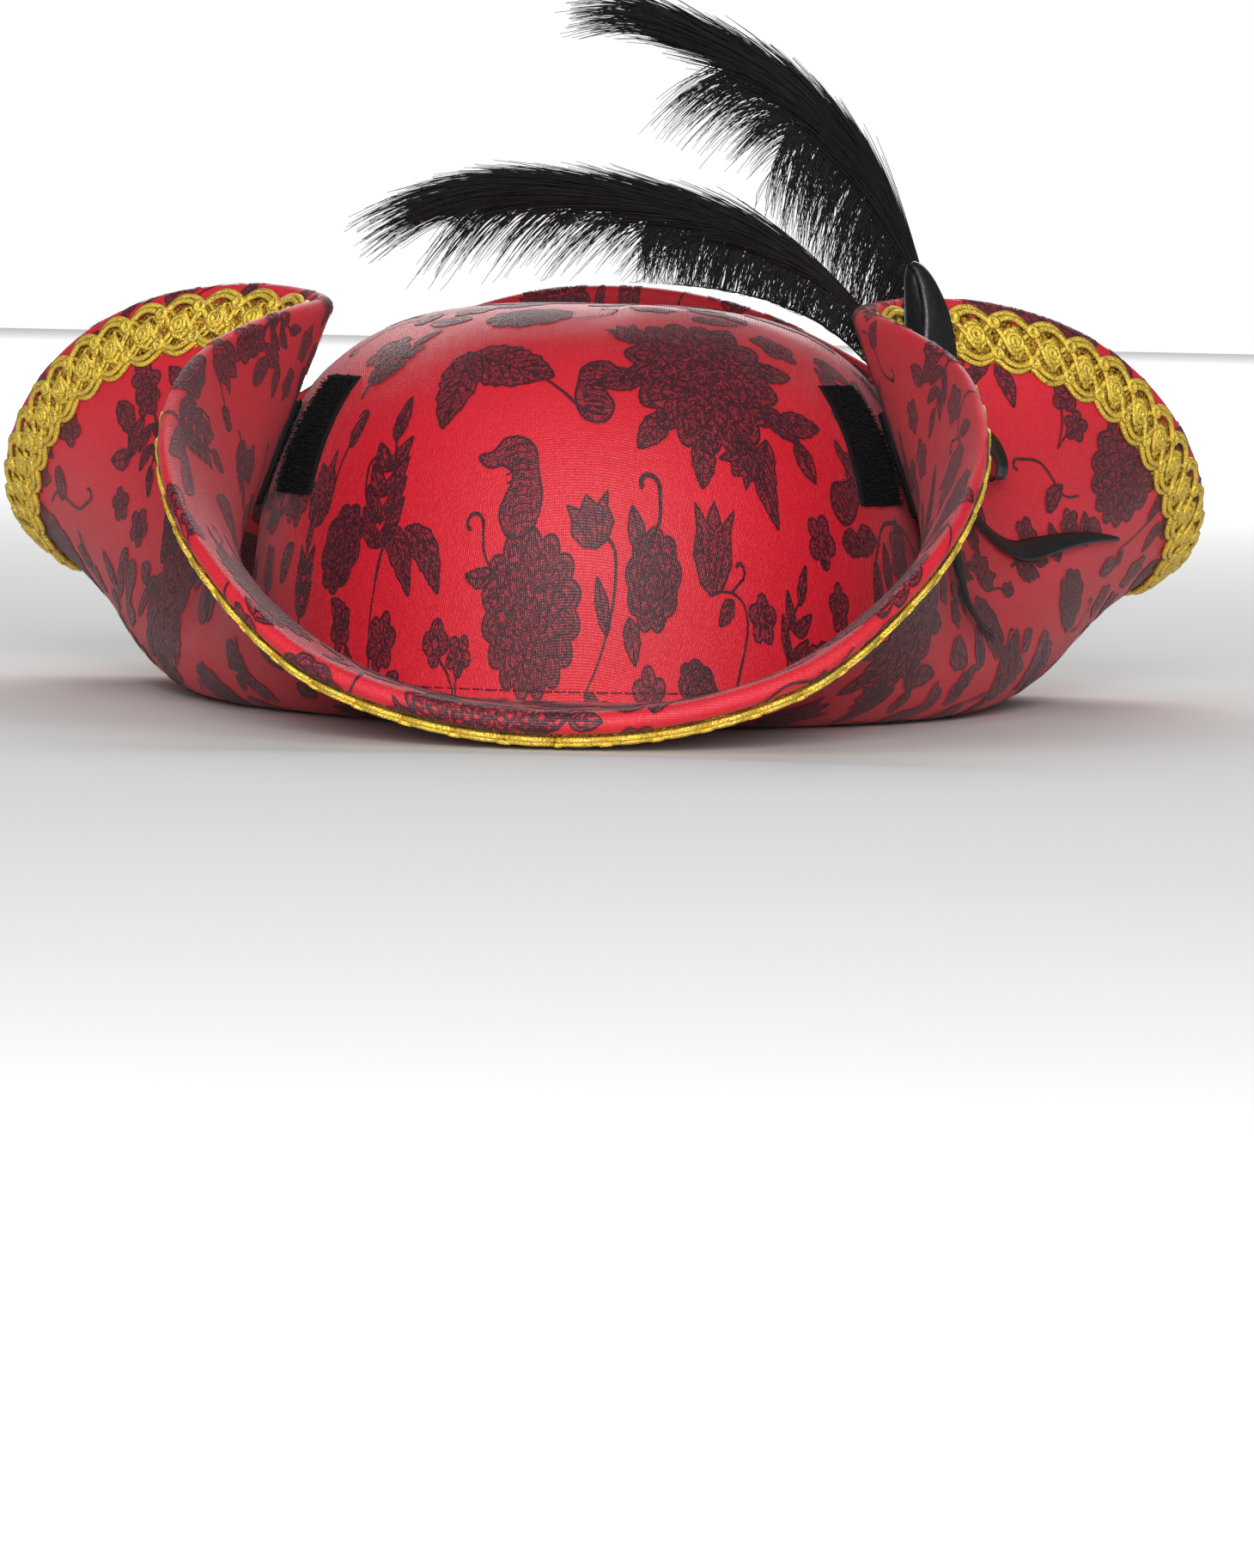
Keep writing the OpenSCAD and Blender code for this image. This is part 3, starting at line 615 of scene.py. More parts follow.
repeat_wide, repeat_deep = 132.0, 112.0
flowers = Motif()
peony(flowers, (-12, -112), 25, 29, 15)
peony(flowers, (19, -104), 13, 18, 9)
peony(flowers, (23, -58), 29, 36, 17)
for a in range(7):
    turn = math.radians(-160 + 40 * a)
    root = np.array((23 + 12 * math.cos(turn), -60 + 14 * math.sin(turn)))
    leaf(flowers, root, root + np.array((10 * math.cos(turn), 10 * math.sin(turn))), 5.5, 4)
for draw, *how in (
        (scroll, [(-20, -104), (-22.5, -99), (-22, -93)], 0.9, 4.2, 2.6),
        (leaf, (-21, -103), (-28, -101), 3.6, 3, 0.2),
        (scroll, [(17, -98), (18.5, -93), (17.5, -87)], 1.2, 3.6, 2.9),
        (leaf, (15, -100), (12, -92), 4, 3), (leaf, (14, -112), (17, -120), 4.4, 3),
        (seahorse, (-14, -88), 19), (leaf, (-23, -53), (-29, -71), 9, 6, 0.1),
        (leaf, (-22, -54), (-6, -66), 11, 7, -0.15),
        (scroll, [(-8, -66), (-4, -70), (0, -74), (4, -75)], 0.8), (seahorse, (3, -69), 15, -1),
        (tulip, (3, -96), 10, 10, 0.3),
        (scroll, [(3, -127), (7, -120), (9.5, -110), (9, -101), (6, -98)], 0.8),
        (leaf, (8.5, -116), (5, -106), 3.4, 3), (leaf, (3, -127), (8, -129), 2.6, 2),
        (tulip, (32, -93), 10, 17, 0.25),
        (scroll, [(35, -100), (39, -98), (43, -98), (46, -102), (47, -113)], 0.8),
        (scroll, [(39, -98), (41, -94)], 0.9, 3.6, 1.9), (bloom, (49, -97), 7.5, 5, 0.4),
        (leaf, (40, -99), (38, -105), 3.4, 3), (leaf, (38, -66), (46, -80), 6, 4, -0.3),
        (leaf, (40, -60), (48, -52), 5, 4), (tulip, (34, -74), 8, 8, 2.8),
        (scroll, [(34, -60), (40, -62), (46, -60)], 0.8), (leaf, (44, -61), (51, -64), 5, 4),
        (spray, (61, -100), (57, -86), 2, 8.0, 0.3), (bloom, (22, -124), 8.5, 5),
        (peony, (36, -118), 12, 9, 8), (leaf, (42, -117), (48, -121), 4.6, 4),
        (bloom, (-39, -109), 7, 4, 0.6), (bloom, (-33, -114), 6.5, 5),
        (scroll, [(-36, -122), (-37, -116), (-39, -112)], 0.7),
        (scroll, [(-36, -122), (-35, -118), (-33, -116)], 0.7),
        (spray, (-52, -88), (-39, -66), 4, 10.0, -0.3), (leaf, (-46, -81), (-44, -97), 5.4, 4, 0.15),
        (leaf, (-41, -85), (-36, -101), 6, 5, 0.2),
        (scroll, [(-47, -80), (-49, -72), (-47, -67)], 0.8, -3.8, 2.2),
        (scroll, [(-52, -88), (-58, -95), (-62, -104), (-60, -112)], 0.8), (peony, (-59, -74), 15, 13, 9),
        (bloom, (-55, -99), 9, 6, 0.2), (leaf, (-60, -112), (-52, -119), 5, 4, 0.2),
        (tulip, (-60, -58), 10, 12, -0.4), (scroll, [(-60, -64), (-52, -58), (-46, -56)], 0.8, 3.2, 2.4),
        (spray, (-46, -48), (-34, -40), 3, 7.0), (leaf, (50, -44), (60, -38), 7, 6, 0.2),
        (seahorse, (58, -56), 15), (bloom, (57, -72), 8, 5), (peony, (-12, -38), 16, 14, 9),
        (scroll, [(-3, -42), (3, -38), (5, -32)], 0.8, 3.6, 2.4), (spray, (52, -126), (64, -118), 3, 7.0),
        (scroll, [(-24, -128), (-30, -131), (-40, -128), (-48, -131)], 0.9, 3.0, 2.0),
        (tulip, (8, -50), 7, 9, 0.6)):
    draw(flowers, *how)
for x, y, dx, dy, wide in (
        (-63, -88, -3, 9, 4.5), (-52, -108, -8, 2, 4.6), (-66, -118, 4, 9, 5), (-58, -44, -7, 7, 6),
        (-24, -34, -8, 6, 6), (-34, -26, 3, 9, 5), (20, -34, 9, 5, 6), (30, -26, -4, 9, 5),
        (44, -30, 8, 4, 5), (64, -44, 2, 10, 5), (66, -88, -2, -10, 5), (52, -108, 8, -3, 5),
        (62, -66, 6, 6, 4.5), (-66, -32, 8, 2, 5), (56, -28, -3, 7, 4), (-1, -24, 7, 6, 5),
        (-14, -24, -6, 6, 5), (-50, -58, 5, 4, 3.4), (28, -134, -9, 2, 5), (-18, -133, 8, 3, 5)):
    leaf(flowers, (x, y), (x + dx, y + dy), wide, 4, 0.12)
for x, y, size in ((-68, -98, 7), (-40, -36, 8), (12, -26, 8), (36, -36, 8), (68, -76, 7), (66, -106, 8),
                   (-68, -46, 7), (48, -34, 6), (-24, -24, 7), (66, -30, 7)):
    bloom(flowers, (x, y), size, 5, x)

scribble = {part: (np.concatenate(held), made) for part, (held, made, _) in flowers.parts.items()}


def lay_print(put, across, deep, turn, shift, flipped=False):
    """Repeats the print over flat cloth; put gives each flat point's place and whether it's kept."""
    c, s = math.cos(turn), math.sin(turn)
    made = []
    for part, (flat, faces) in scribble.items():
        points, held, laid = [], [], []
        count = 0
        for i in range(-across, across + 1):
            for j in range(-deep, deep + 1):
                drop = repeat_deep / 2 * (i % 2)
                moved = flat + (i * repeat_wide + shift[0], j * repeat_deep + drop + shift[1])
                if flipped:
                    moved = moved * (-1, 1)
                moved = np.stack([moved[:, 0] * c - moved[:, 1] * s, moved[:, 0] * s + moved[:, 1] * c], -1)
                placed, fine = put(moved, fill_lift if part == "fill" else line_lift)
                good = [f for f in faces if all(fine[k] for k in f)]
                if not good:
                    continue
                used = sorted({k for f in good for k in f})
                number = {k: count + n for n, k in enumerate(used)}
                points.append(placed[used])
                laid.append(moved[used])
                held += [tuple(number[k] for k in f) for f in good]
                count += len(used)
        made.append((np.concatenate(points), held, np.concatenate(laid)))
    return made


def print_piece(name, parts, chosen=None):
    """One mesh of the print's patches and lines, of those faces that are chosen."""
    points, faces, flat, inks, count = [], [], [], [], 0
    for ink, (places, held, laid) in enumerate(parts):
        if chosen is not None:
            corner = np.array([f[0] for f in held])
            good = chosen(places[corner], laid[corner])
            held = [f for f, g in zip(held, good) if g]
        faces += [tuple(k + count for k in f) for f in held]
        inks += [ink] * len(held)
        points.append(places)
        flat.append(laid)
        count += len(places)
    points, flat = np.concatenate(points), np.concatenate(flat)
    used = sorted({k for f in faces for k in f})
    number = {k: n for n, k in enumerate(used)}
    made = piece(name, points[used], [tuple(number[k] for k in f) for f in faces], ink_fill, flat[used],
                 closed=False)
    made.data.materials.append(ink_line)
    made.data.polygons.foreach_set("material_index", inks)
    return made


def onto_crown(flat, out):
    x, y = flat[:, 0] / crown_half_width, -flat[:, 1] / crown_half_depth
    v = (np.hypot(x, y) / moulding_stretch) ** (1 / moulding_power)
    return crown_point(np.arctan2(x, y), v, out), (v < 0.995) & (v > 0.02)


crown_print = print_piece("crown_print", lay_print(onto_crown, 2, 3, 0.0, (0, 0)))
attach(crown_print, "hat")


def from_seam(flat):
    """The angle and the distance out from the crown's seam of points on the flat brim."""
    u = np.arctan2(flat[:, 0] / crown_half_width, -flat[:, 1] / crown_half_depth)
    for _ in range(12):
        gap = flat - ellipse(u, crown_half_width, crown_half_depth)
        way = np.stack([crown_half_width * np.cos(u), crown_half_depth * np.sin(u)], -1)
        bow = np.stack([-crown_half_width * np.sin(u), crown_half_depth * np.cos(u)], -1)
        u = u - np.clip((gap * way).sum(-1) / ((gap * bow).sum(-1) - (way * way).sum(-1)), -0.3, 0.3)
    gap = flat - ellipse(u, crown_half_width, crown_half_depth)
    u = np.degrees(u)
    return u, (gap * outward(u)).sum(-1)


def onto_upper_face(flat, out):
    u, q = from_seam(flat)
    return wrapped_point(u, q, out), (q > 0) & (q < brim_width(u) + 8)


def onto_under_face(flat, out):
    u, s = from_seam(flat)
    return brim_point(u, s, -brim_half - out), (s > 0) & (s < brim_width(u) - 5)


upper_print = lay_print(onto_upper_face, 2, 2, 0.35, (20, 34))
under_print = lay_print(onto_under_face, 2, 2, -1.25, (-22, 50), True)
for name, (first, last, _, _, _) in quarters.items():
    def in_quarter(places, laid, first=first, last=last):
        angle = from_seam(laid)[0] % 360
        return (angle >= first) & (angle < last)
    for face, parts in (("upper", upper_print), ("under", under_print)):
        printed = print_piece(f"{name}_{face}_print", parts, in_quarter)
        bends_with(printed)

# ---- Gold braid -----------------------------------------------------------------------
# A bought trimming of metallic gold cords, worked in scallops, crossed waves and ringed
# eyelets over a net ground, and stitched flat to the brim's outer face near its edge.

braid_width, braid_inset, cord_thick = 14.0, 2.7, 0.64
cell = 11.0

gold, shade, feed = finish_of("gold_cord", {"Metallic": 0.55, "Specular IOR Level": 0.7})
# The cord's colour is flecked with painted highlights (pale yellow) and painted shade (dark brown), in
# patches, over plain gold; the same fine noise also varies its roughness and bumps.
glint = shade.noise(2600.0, 2.0)
patchy = shade.noise(420.0, 2.0).between(0.3, 0.85)
painted_glint_and_shade = glint.between(0.35, 0.65).tint((0.3, 0.11, 0.004), (1.0, 0.82, 0.14))
feed(Base_Color=patchy.tint(painted_glint_and_shade, (1.0, 0.7, 0.06)),
     Roughness=0.24 + glint * 0.3, Normal=glint.bump(0.0004, 0.9))
# The net's colour runs from near-black brown to gold: its own gold, darkened as painted shade between the
# cords.
net, shade, feed = finish_of("gold_net", {"Metallic": 0.4})
grain = shade.noise(1500.0, 3.0).between(0.38, 0.62)
feed(Base_Color=grain.tint((0.075, 0.018, 0.002), (0.75, 0.42, 0.035)), Roughness=0.35 + grain * 0.25,
     Normal=grain.bump(0.0005, 0.9))


def tube(path, radius, sides=5, closed=False, ends=True):
    """Points and faces of a round tube along a path; radius may be one value or one per point."""
    path = np.asarray(path, float)
    n = len(path)
    way = (np.roll(path, -1, 0) - np.roll(path, 1, 0)) if closed else np.gradient(path, axis=0)
    way /= np.linalg.norm(way, axis=1, keepdims=True)
    first = np.cross(way[0], (0.3, 0.2, 1.0))
    sides_way = [first / np.linalg.norm(first)]
    for w in way[1:]:
        s = sides_way[-1] - w * (sides_way[-1] @ w)
        sides_way.append(s / np.linalg.norm(s))
    beside = np.array(sides_way)
    above = np.cross(way, beside)
    angle = 2 * math.pi * np.arange(sides) / sides
    radius = np.broadcast_to(np.asarray(radius, float), (n,))
    points = path[:, None] + radius[:, None, None] * (
        np.cos(angle)[None, :, None] * beside[:, None] + np.sin(angle)[None, :, None] * above[:, None])
    faces = []
    for i in range(n if closed else n - 1):
        for k in range(sides):
            a, b = i * sides, (i + 1) % n * sides
            faces.append((a + k, a + (k + 1) % sides, b + (k + 1) % sides, b + k))
    if ends and not closed:
        faces += [tuple(range(sides))[::-1], tuple((n - 1) * sides + k for k in range(sides))]
    return points.reshape(-1, 3), faces


def joined(parts):
    """One list of points and one of faces from several."""
    points, faces, count = [], [], 0
    for p, f in parts:
        points.append(p)
        faces += [tuple(k + count for k in face) for face in f]
        count += len(p)
    return np.concatenate(points), faces


x = np.linspace(-cell / 2, cell / 2, 13)
phase = 2 * math.pi * x / cell
cords = []
for side in (-1, 1):
    for inset, height in ((0.0, 1.0), (1.25, 1.8)):
        lobes = braid_width / 2 - 2.5 - inset + 2.5 * np.abs(np.cos(phase / 2))
        cords.append(tube(np.stack([x, side * lobes, 0 * x + height], -1), cord_thick * 1.12, 5))
    wave = side * 3.1 * np.cos(phase)
    cords.append(tube(np.stack([x, wave, 1.5 + side * 0.45 * np.sin(phase)], -1), cord_thick * 0.9, 5))
    wave = side * 1.7 * np.sin(phase * 2)
    weaving = np.stack([x, wave + side * 2.4, 1.2 + 0.3 * np.cos(2 * phase)], -1)
    cords.append(tube(weaving, cord_thick * 0.7, 4))
for middle_x, middle_y, ring in ((0, 0, 2.0), (0, 0, 0.95), (-cell / 2, 3.7, 1.15), (-cell / 2, -3.7, 1.15)):
    a = np.arange(12) / 12 * 2 * math.pi
    cords.append(tube(np.stack([middle_x + ring * np.cos(a), middle_y + ring * np.sin(a), 0 * a + 2.15], -1),
                      cord_thick * 0.95, 5, True))
braid_cell = piece("braid_cell", *joined(cords), gold)


def new_tree(name, *inputs):
    """A node tree from geometry to geometry with these further inputs, and its two ends."""
    tree = bpy.data.node_groups.new(name, "GeometryNodeTree")
    tree.interface.new_socket("Geometry", in_out="INPUT", socket_type="NodeSocketGeometry")
    for label, kind in inputs:
        tree.interface.new_socket(label, in_out="INPUT", socket_type="NodeSocket" + kind)
    tree.interface.new_socket("Geometry", in_out="OUTPUT", socket_type="NodeSocketGeometry")
    return tree, tree.nodes.new("NodeGroupInput"), tree.nodes.new("NodeGroupOutput")


def grown(name, mesh, tree, values):
    """The mesh piece that a node tree makes of a mesh of points."""
    holder = bpy.data.objects.new(mesh.name, mesh)
    bpy.context.scene.collection.objects.link(holder)
    modifier = holder.modifiers.new("grow", "NODES")
    modifier.node_group = tree
    keys = {s.name: s.identifier for s in tree.interface.items_tree if s.in_out == "INPUT"}
    for label, value in values.items():
        modifier[keys[label]] = value
    evaluated = holder.evaluated_get(bpy.context.evaluated_depsgraph_get())
    made = bpy.data.objects.new(name, bpy.data.meshes.new_from_object(evaluated))
    made.data.shade_smooth()
    bpy.context.scene.collection.objects.link(made)
    bpy.data.objects.remove(holder)
    return made


def strew_tree(name):
    """A node tree that sets one shape on every point, turned by its aim and face, and joins all."""
    tree, start, end = new_tree(name, ("Shape", "Object"), ("Size", "Float"), ("Unevenness", "Float"),
                                ("Seed", "Int"), ("Finish", "Material"))
    nodes, link = tree.nodes, tree.links.new

    def named(attribute, kind):
        node = nodes.new("GeometryNodeInputNamedAttribute")
        node.data_type = kind
        node.inputs["Name"].default_value = attribute
        return node.outputs["Attribute"]
    shape = nodes.new("GeometryNodeObjectInfo")
    link(start.outputs["Shape"], shape.inputs["Object"])
    point_x, point_z = (nodes.new("FunctionNodeAlignRotationToVector") for _ in range(2))
    point_x.axis, point_z.axis, point_z.pivot_axis = "X", "Z", "X"
    link(named("aim", "FLOAT_VECTOR"), point_x.inputs["Vector"])
    link(point_x.outputs["Rotation"], point_z.inputs["Rotation"])
    link(named("face", "FLOAT_VECTOR"), point_z.inputs["Vector"])
    uneven = nodes.new("FunctionNodeRandomValue")
    low, high = nodes.new("ShaderNodeMath"), nodes.new("ShaderNodeMath")
    low.operation, high.operation = "SUBTRACT", "ADD"
    for node in (low, high):
        node.inputs[0].default_value = 1.0
        link(start.outputs["Unevenness"], node.inputs[1])
    link(low.outputs[0], uneven.inputs[2])
    link(high.outputs[0], uneven.inputs[3])
    link(start.outputs["Seed"], uneven.inputs["Seed"])
    size = nodes.new("ShaderNodeMath")
    size.operation = "MULTIPLY"
    link(uneven.outputs[1], size.inputs[0])
    link(start.outputs["Size"], size.inputs[1])
    scale = nodes.new("ShaderNodeVectorMath")
    scale.operation = "SCALE"
    link(named("scale", "FLOAT_VECTOR"), scale.inputs[0])
    link(size.outputs[0], scale.inputs["Scale"])
    strew = nodes.new("GeometryNodeInstanceOnPoints")
    link(start.outputs["Geometry"], strew.inputs["Points"])
    link(shape.outputs["Geometry"], strew.inputs["Instance"])
    link(point_z.outputs["Rotation"], strew.inputs["Rotation"])
    link(scale.outputs[0], strew.inputs["Scale"])
    real, finish = nodes.new("GeometryNodeRealizeInstances"), nodes.new("GeometryNodeSetMaterial")
    link(strew.outputs["Instances"], real.inputs["Geometry"])
    link(real.outputs["Geometry"], finish.inputs["Geometry"])
    link(start.outputs["Finish"], finish.inputs["Material"])
    link(finish.outputs["Geometry"], end.inputs["Geometry"])
    return tree


strew = strew_tree("strew_shapes")


def strewn(name, places, aims, faces_way, shape, material, scales=None, uneven=0.0, seed=1):
    """A mesh piece made of copies of a shape at these places, in millimetres."""
    mesh = bpy.data.meshes.new(name + "_points")
    mesh.from_pydata((np.asarray(places) / 1000).tolist(), [], [])
    scales = np.ones((len(places), 3)) if scales is None else scales
    for attribute, values in (("aim", aims), ("face", faces_way), ("scale", scales)):
        mesh.attributes.new(attribute, "FLOAT_VECTOR", "POINT").data.foreach_set(
            "vector", np.asarray(values, np.float32).ravel())
    return grown(name, mesh, strew, {
        "Shape": shape, "Size": 1.0, "Unevenness": uneven, "Seed": seed, "Finish": material})


def discard(shape):
    """Takes a pattern shape away once its copies are made."""
    bpy.data.objects.remove(shape)


braid_for = {"brim_front_right": ("front_braid", "right_flap_braid"), "brim_rear_right": ("back_braid",),
             "brim_rear_left": ("left_flap_braid",), "brim_front_left": ()}
for name, (first, last, _, _, _) in quarters.items():
    u = np.linspace(first, last, 400)
    s = brim_width(u) - braid_inset - braid_width / 2
    path = brim_point(u, s, -brim_half - 0.25 + 0 * u)
    run = np.concatenate([[0], np.cumsum(np.linalg.norm(np.diff(path, axis=0), axis=1))])
    count = round(run[-1] / cell)
    pitch = run[-1] / count
    middles = np.stack([(np.arange(count) + 0.5) * pitch, np.zeros(count), np.zeros(count)], -1)
    stretch = np.tile((pitch / cell, 1.0, 1.0), (count, 1))
    cords = strewn(name.replace("brim", "braid") + "_cords", middles, np.tile((1.0, 0, 0), (count, 1)),
                   np.tile((0, 0, 1.0), (count, 1)), braid_cell, gold, stretch)
    flat = np.empty(len(cords.data.vertices) * 3, np.float32)
    cords.data.vertices.foreach_get("co", flat)
    flat = flat.reshape(-1, 3) * 1000
    at = np.interp(flat[:, 0], run, u)
    laid = brim_point(at, brim_width(at) - braid_inset - braid_width / 2 + flat[:, 1],
                      -brim_half - 0.25 - flat[:, 2])
    cords.data.vertices.foreach_set("co", (laid / 1000).astype(np.float32).ravel())
    cords.data.update()
    bends_with(cords)
    fine_u = np.linspace(first, last, count * 12 + 1)
    lobe = 1.3 * np.abs(np.cos(math.pi * np.arange(count * 12 + 1) / 12 - math.pi / 2))
    ground = []
    for share, height in ((-1, 0.3), (-0.5, 0.8), (0, 0.9), (0.5, 0.8), (1, 0.3)):
        s = brim_width(fine_u) - braid_inset - braid_width / 2 + share * (braid_width / 2 - 2.3 + lobe)
        ground.append(brim_point(fine_u, s, -brim_half - height))
    for share in (1, 0.5, 0, -0.5, -1):
        s = brim_width(fine_u) - braid_inset - braid_width / 2 + share * (braid_width / 2 - 2.3 + lobe)
        ground.append(brim_point(fine_u, s, -brim_half - 0.02 + 0 * s))
    ground = np.stack(ground, 1)
    backing = piece(name.replace("brim", "braid") + "_net", ground.reshape(-1, 3),
                    rolled_faces(*ground.shape[:2]), net)
    bends_with(backing)
    if braid_for[name]:
        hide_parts(*braid_for[name])
discard(braid_cell)

# ---- Lining and sweatband -------------------------------------------------------------
# A plain black woven lining is glued inside the crown, and a ribbed black band is sewn
# round the head opening with a row of short stitches along each edge.

lining_out, lining_in = -2.9, -3.4
black_weave, shade, feed = finish_of("lining_cloth", {"Sheen Weight": 0.25, "Sheen Roughness": 0.5})
warp = shade.node("ShaderNodeTexWave", {"bands_direction": "X"}, {"Scale": 260.0, "Distortion": 1.0})
weft = shade.node("ShaderNodeTexWave", {"bands_direction": "Z"}, {"Scale": 260.0, "Distortion": 1.0})
feed(Base_Color=(warp * weft).tint((0.022, 0.022, 0.025), (0.05, 0.05, 0.056)),
     Roughness=0.8 - warp * 0.1, Normal=(warp * weft).bump(0.0003, 0.6))
u_grid, v_grid = np.meshgrid(crown_round, np.linspace(0.02, 1 + 2.3 / crown_arc, 40), indexing="ij")
lining = shell("crown_lining_cloth", crown_point(u_grid, v_grid, lining_out - 0.02),
               crown_point(u_grid, v_grid, lining_in), black_weave)
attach(lining, "hat")
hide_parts("crown_lining")

band_low, band_high, band_out, band_thick = -2.3, 23.5, -3.75, 0.75
ribbed, shade, feed = finish_of("ribbed_band", {"Sheen Weight": 0.2})
rib = shade.node("ShaderNodeTexWave", {"bands_direction": "Z"}, {"Scale": 210.0, "Distortion": 0.3})
feed(Base_Color=rib.tint((0.018, 0.018, 0.02), (0.06, 0.06, 0.066)), Roughness=0.62 + rib * 0.2,
     Normal=rib.bump(0.0004, 0.8))
band_z = np.linspace(band_low, band_high, 14)
band_u = np.radians(np.arange(0, 360, 3.0))
ring_of = lambda out: np.stack([np.concatenate([
    ellipse(band_u, crown_half_width + out(z), crown_half_depth + out(z)),
    np.full((len(band_u), 1), z)], -1) for z in band_z], 1)
wavy = lambda z: band_out - (0.6 if z > 3 else 0.1 * z if z > 0 else 0)
outer, inner = ring_of(wavy), ring_of(lambda z: wavy(z) - band_thick)
band_points = np.concatenate([outer, inner[:, ::-1]], 1)
sweat = piece("sweatband_ribbing", band_points.reshape(-1, 3), rolled_faces(*band_points.shape[:2], True),
              ribbed)
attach(sweat, "hat")
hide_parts("sweatband")

thread, shade, feed = finish_of("sewing_thread", {})
feed(Base_Color=shade.noise(2000.0).tint((0.05, 0.008, 0.012), (0.12, 0.015, 0.02)),
     Roughness=0.5 + shade.noise(900.0) * 0.2)
stitch_x = np.linspace(-1.3, 1.3, 5)
stitch_line = np.stack([stitch_x, 0 * stitch_x, 0.3 * np.cos(stitch_x)], -1)
stitch = piece("stitch", *tube(stitch_line, 0.2, 5), thread)
stitch_count = 160
seam_u = np.linspace(0, 2 * math.pi, stitch_count, endpoint=False)
turned = np.stack([np.cos(seam_u) * crown_half_width, np.sin(seam_u) * crown_half_depth, 0 * seam_u], -1)
outs = np.concatenate([outward(np.degrees(seam_u)), np.zeros((stitch_count, 1))], -1)
rows_of_stitches = []
for z, out, way in ((4.6, 0.0, 1), (21.5, band_out - 0.6 - band_thick, -1),
                    (1.2, band_out - band_thick, -1)):
    rim = ellipse(seam_u, crown_half_width + out, crown_half_depth + out)
    rows_of_stitches.append((np.concatenate([rim, np.full((stitch_count, 1), z)], -1), outs * way))
seam_stitches = strewn("seam_stitches", np.concatenate([r[0] for r in rows_of_stitches]),
                       np.concatenate([turned] * 3), np.concatenate([r[1] for r in rows_of_stitches]),
                       stitch, thread, uneven=0.08, seed=4)
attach(seam_stitches, "hat")
discard(stitch)

# ---- Hook-and-loop tape ---------------------------------------------------------------
# A short strip of black hook tape is stuck on each side of the crown, with its soft loop
# tape inside the flap, so that the flap can be let down. At rest the two don't touch.

tape_black, shade, feed = finish_of("tape_nylon", {"Specular IOR Level": 0.15})
fuzz = shade.noise(1800.0, 3.0)
feed(Base_Color=fuzz.tint((0.002, 0.002, 0.003), (0.012, 0.012, 0.013)), Roughness=0.75 + fuzz * 0.2,
     Normal=fuzz.bump(0.0005, 0.9))
hook_height = np.linspace(0, 1, 4)
hook_line = np.stack([0.35 * hook_height ** 2, 0 * hook_height, 1.1 * hook_height], -1)
hook_shape = piece("tape_hook", *tube(hook_line, 0.11, 3), tape_black)
loop_turn = np.linspace(0, math.pi, 6)
loop_line = np.stack([0.5 * np.cos(loop_turn), 0 * loop_turn, 0.75 * np.sin(loop_turn)], -1)
loop_shape = piece("tape_loop", *tube(loop_line, 0.1, 3), tape_black)
rng = np.random.default_rng(12)


def tape_piece(name, place, u_range, w_range, thick, shape, count, body, node, mirror):
    """A thin base with a field of hooks or loops on it; place gives points at (u, w, height)."""
    n = 9
    u, w = np.meshgrid(np.linspace(*u_range, n), np.linspace(*w_range, n), indexing="ij")
    flip = np.array((-1.0 if mirror else 1.0, 1, 1))
    top, low = place(u, w, thick) * flip, place(u, w, 0.0) * flip
    points = np.concatenate([top.reshape(-1, 3), low.reshape(-1, 3)])
    faces = grid_faces(n, n, False) + grid_faces(n, n, False, n * n, True)
    rim = ([i * n for i in range(n)] + [(n - 1) * n + j for j in range(1, n)]
           + [i * n + n - 1 for i in range(n - 2, -1, -1)] + list(range(n - 2, 0, -1)))
    faces += [(a, n * n + a, n * n + b, b) for a, b in zip(rim, rim[1:] + rim[:1])]
    base = piece(name + "_base", points, faces, tape_black)
    base.data.shade_flat()
    a, b = rng.uniform(*u_range, count), rng.uniform(*w_range, count)
    at = place(a, b, thick - 0.1) * flip
    up = place(a, b, thick + 0.9) * flip - at
    turn = rng.normal(size=(count, 3))
    field = strewn(name + "_pile", at, np.cross(up, turn), up, shape, tape_black, uneven=0.3, seed=7)
    for made in (base, field):
        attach(made, body)
    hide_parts(node)


def on_crown(u, z, out):
    share = (1 - (z / crown_height) ** crown_square) ** (1 / crown_square)
    rim = ellipse(np.radians(u), 1.0, 1.0) * np.stack(
        [crown_half_width * share + 0.25 + out, crown_half_depth * share + 0.25 + out], -1)
    return np.concatenate([rim, z[..., None]], -1)


def on_flap(u, s, out):
    return brim_point(u, s, brim_half + 0.1 + out)


for side in ("left", "right"):
    tape_piece(f"{side}_hook_tape", on_crown, (54.3, 66.7), (48.0, 76.0), 1.1, hook_shape, 1500, "hat",
               f"{side}_crown_hook_tape", side == "left")
    tape_piece(f"{side}_loop_tape", on_flap, (62.0, 73.0), (64.0, 90.0), 0.9, loop_shape, 1500,
               f"{side}_flap", f"{side}_flap_loop_tape", side == "left")
discard(hook_shape)
discard(loop_shape)

# ---- Plumes ---------------------------------------------------------------------------
# Two black ostrich plumes. Each has a thin curved quill in a felt sleeve, sewn to a felt
# patch on the crown's side, with dense barbs swept along it and loose ones hanging below.

felt, shade, feed = finish_of("black_felt", {"Sheen Weight": 0.4, "Sheen Roughness": 0.6})
wool = shade.noise(1400.0, 4.0)
feed(Base_Color=wool.tint((0.012, 0.011, 0.012), (0.055, 0.052, 0.056)), Roughness=0.8 + wool * 0.15,
     Normal=wool.bump(0.0005, 0.9))
for node in ("felt_patch", "quill_sleeves"):
    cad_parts[node].data.materials.clear()
    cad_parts[node].data.materials.append(felt)

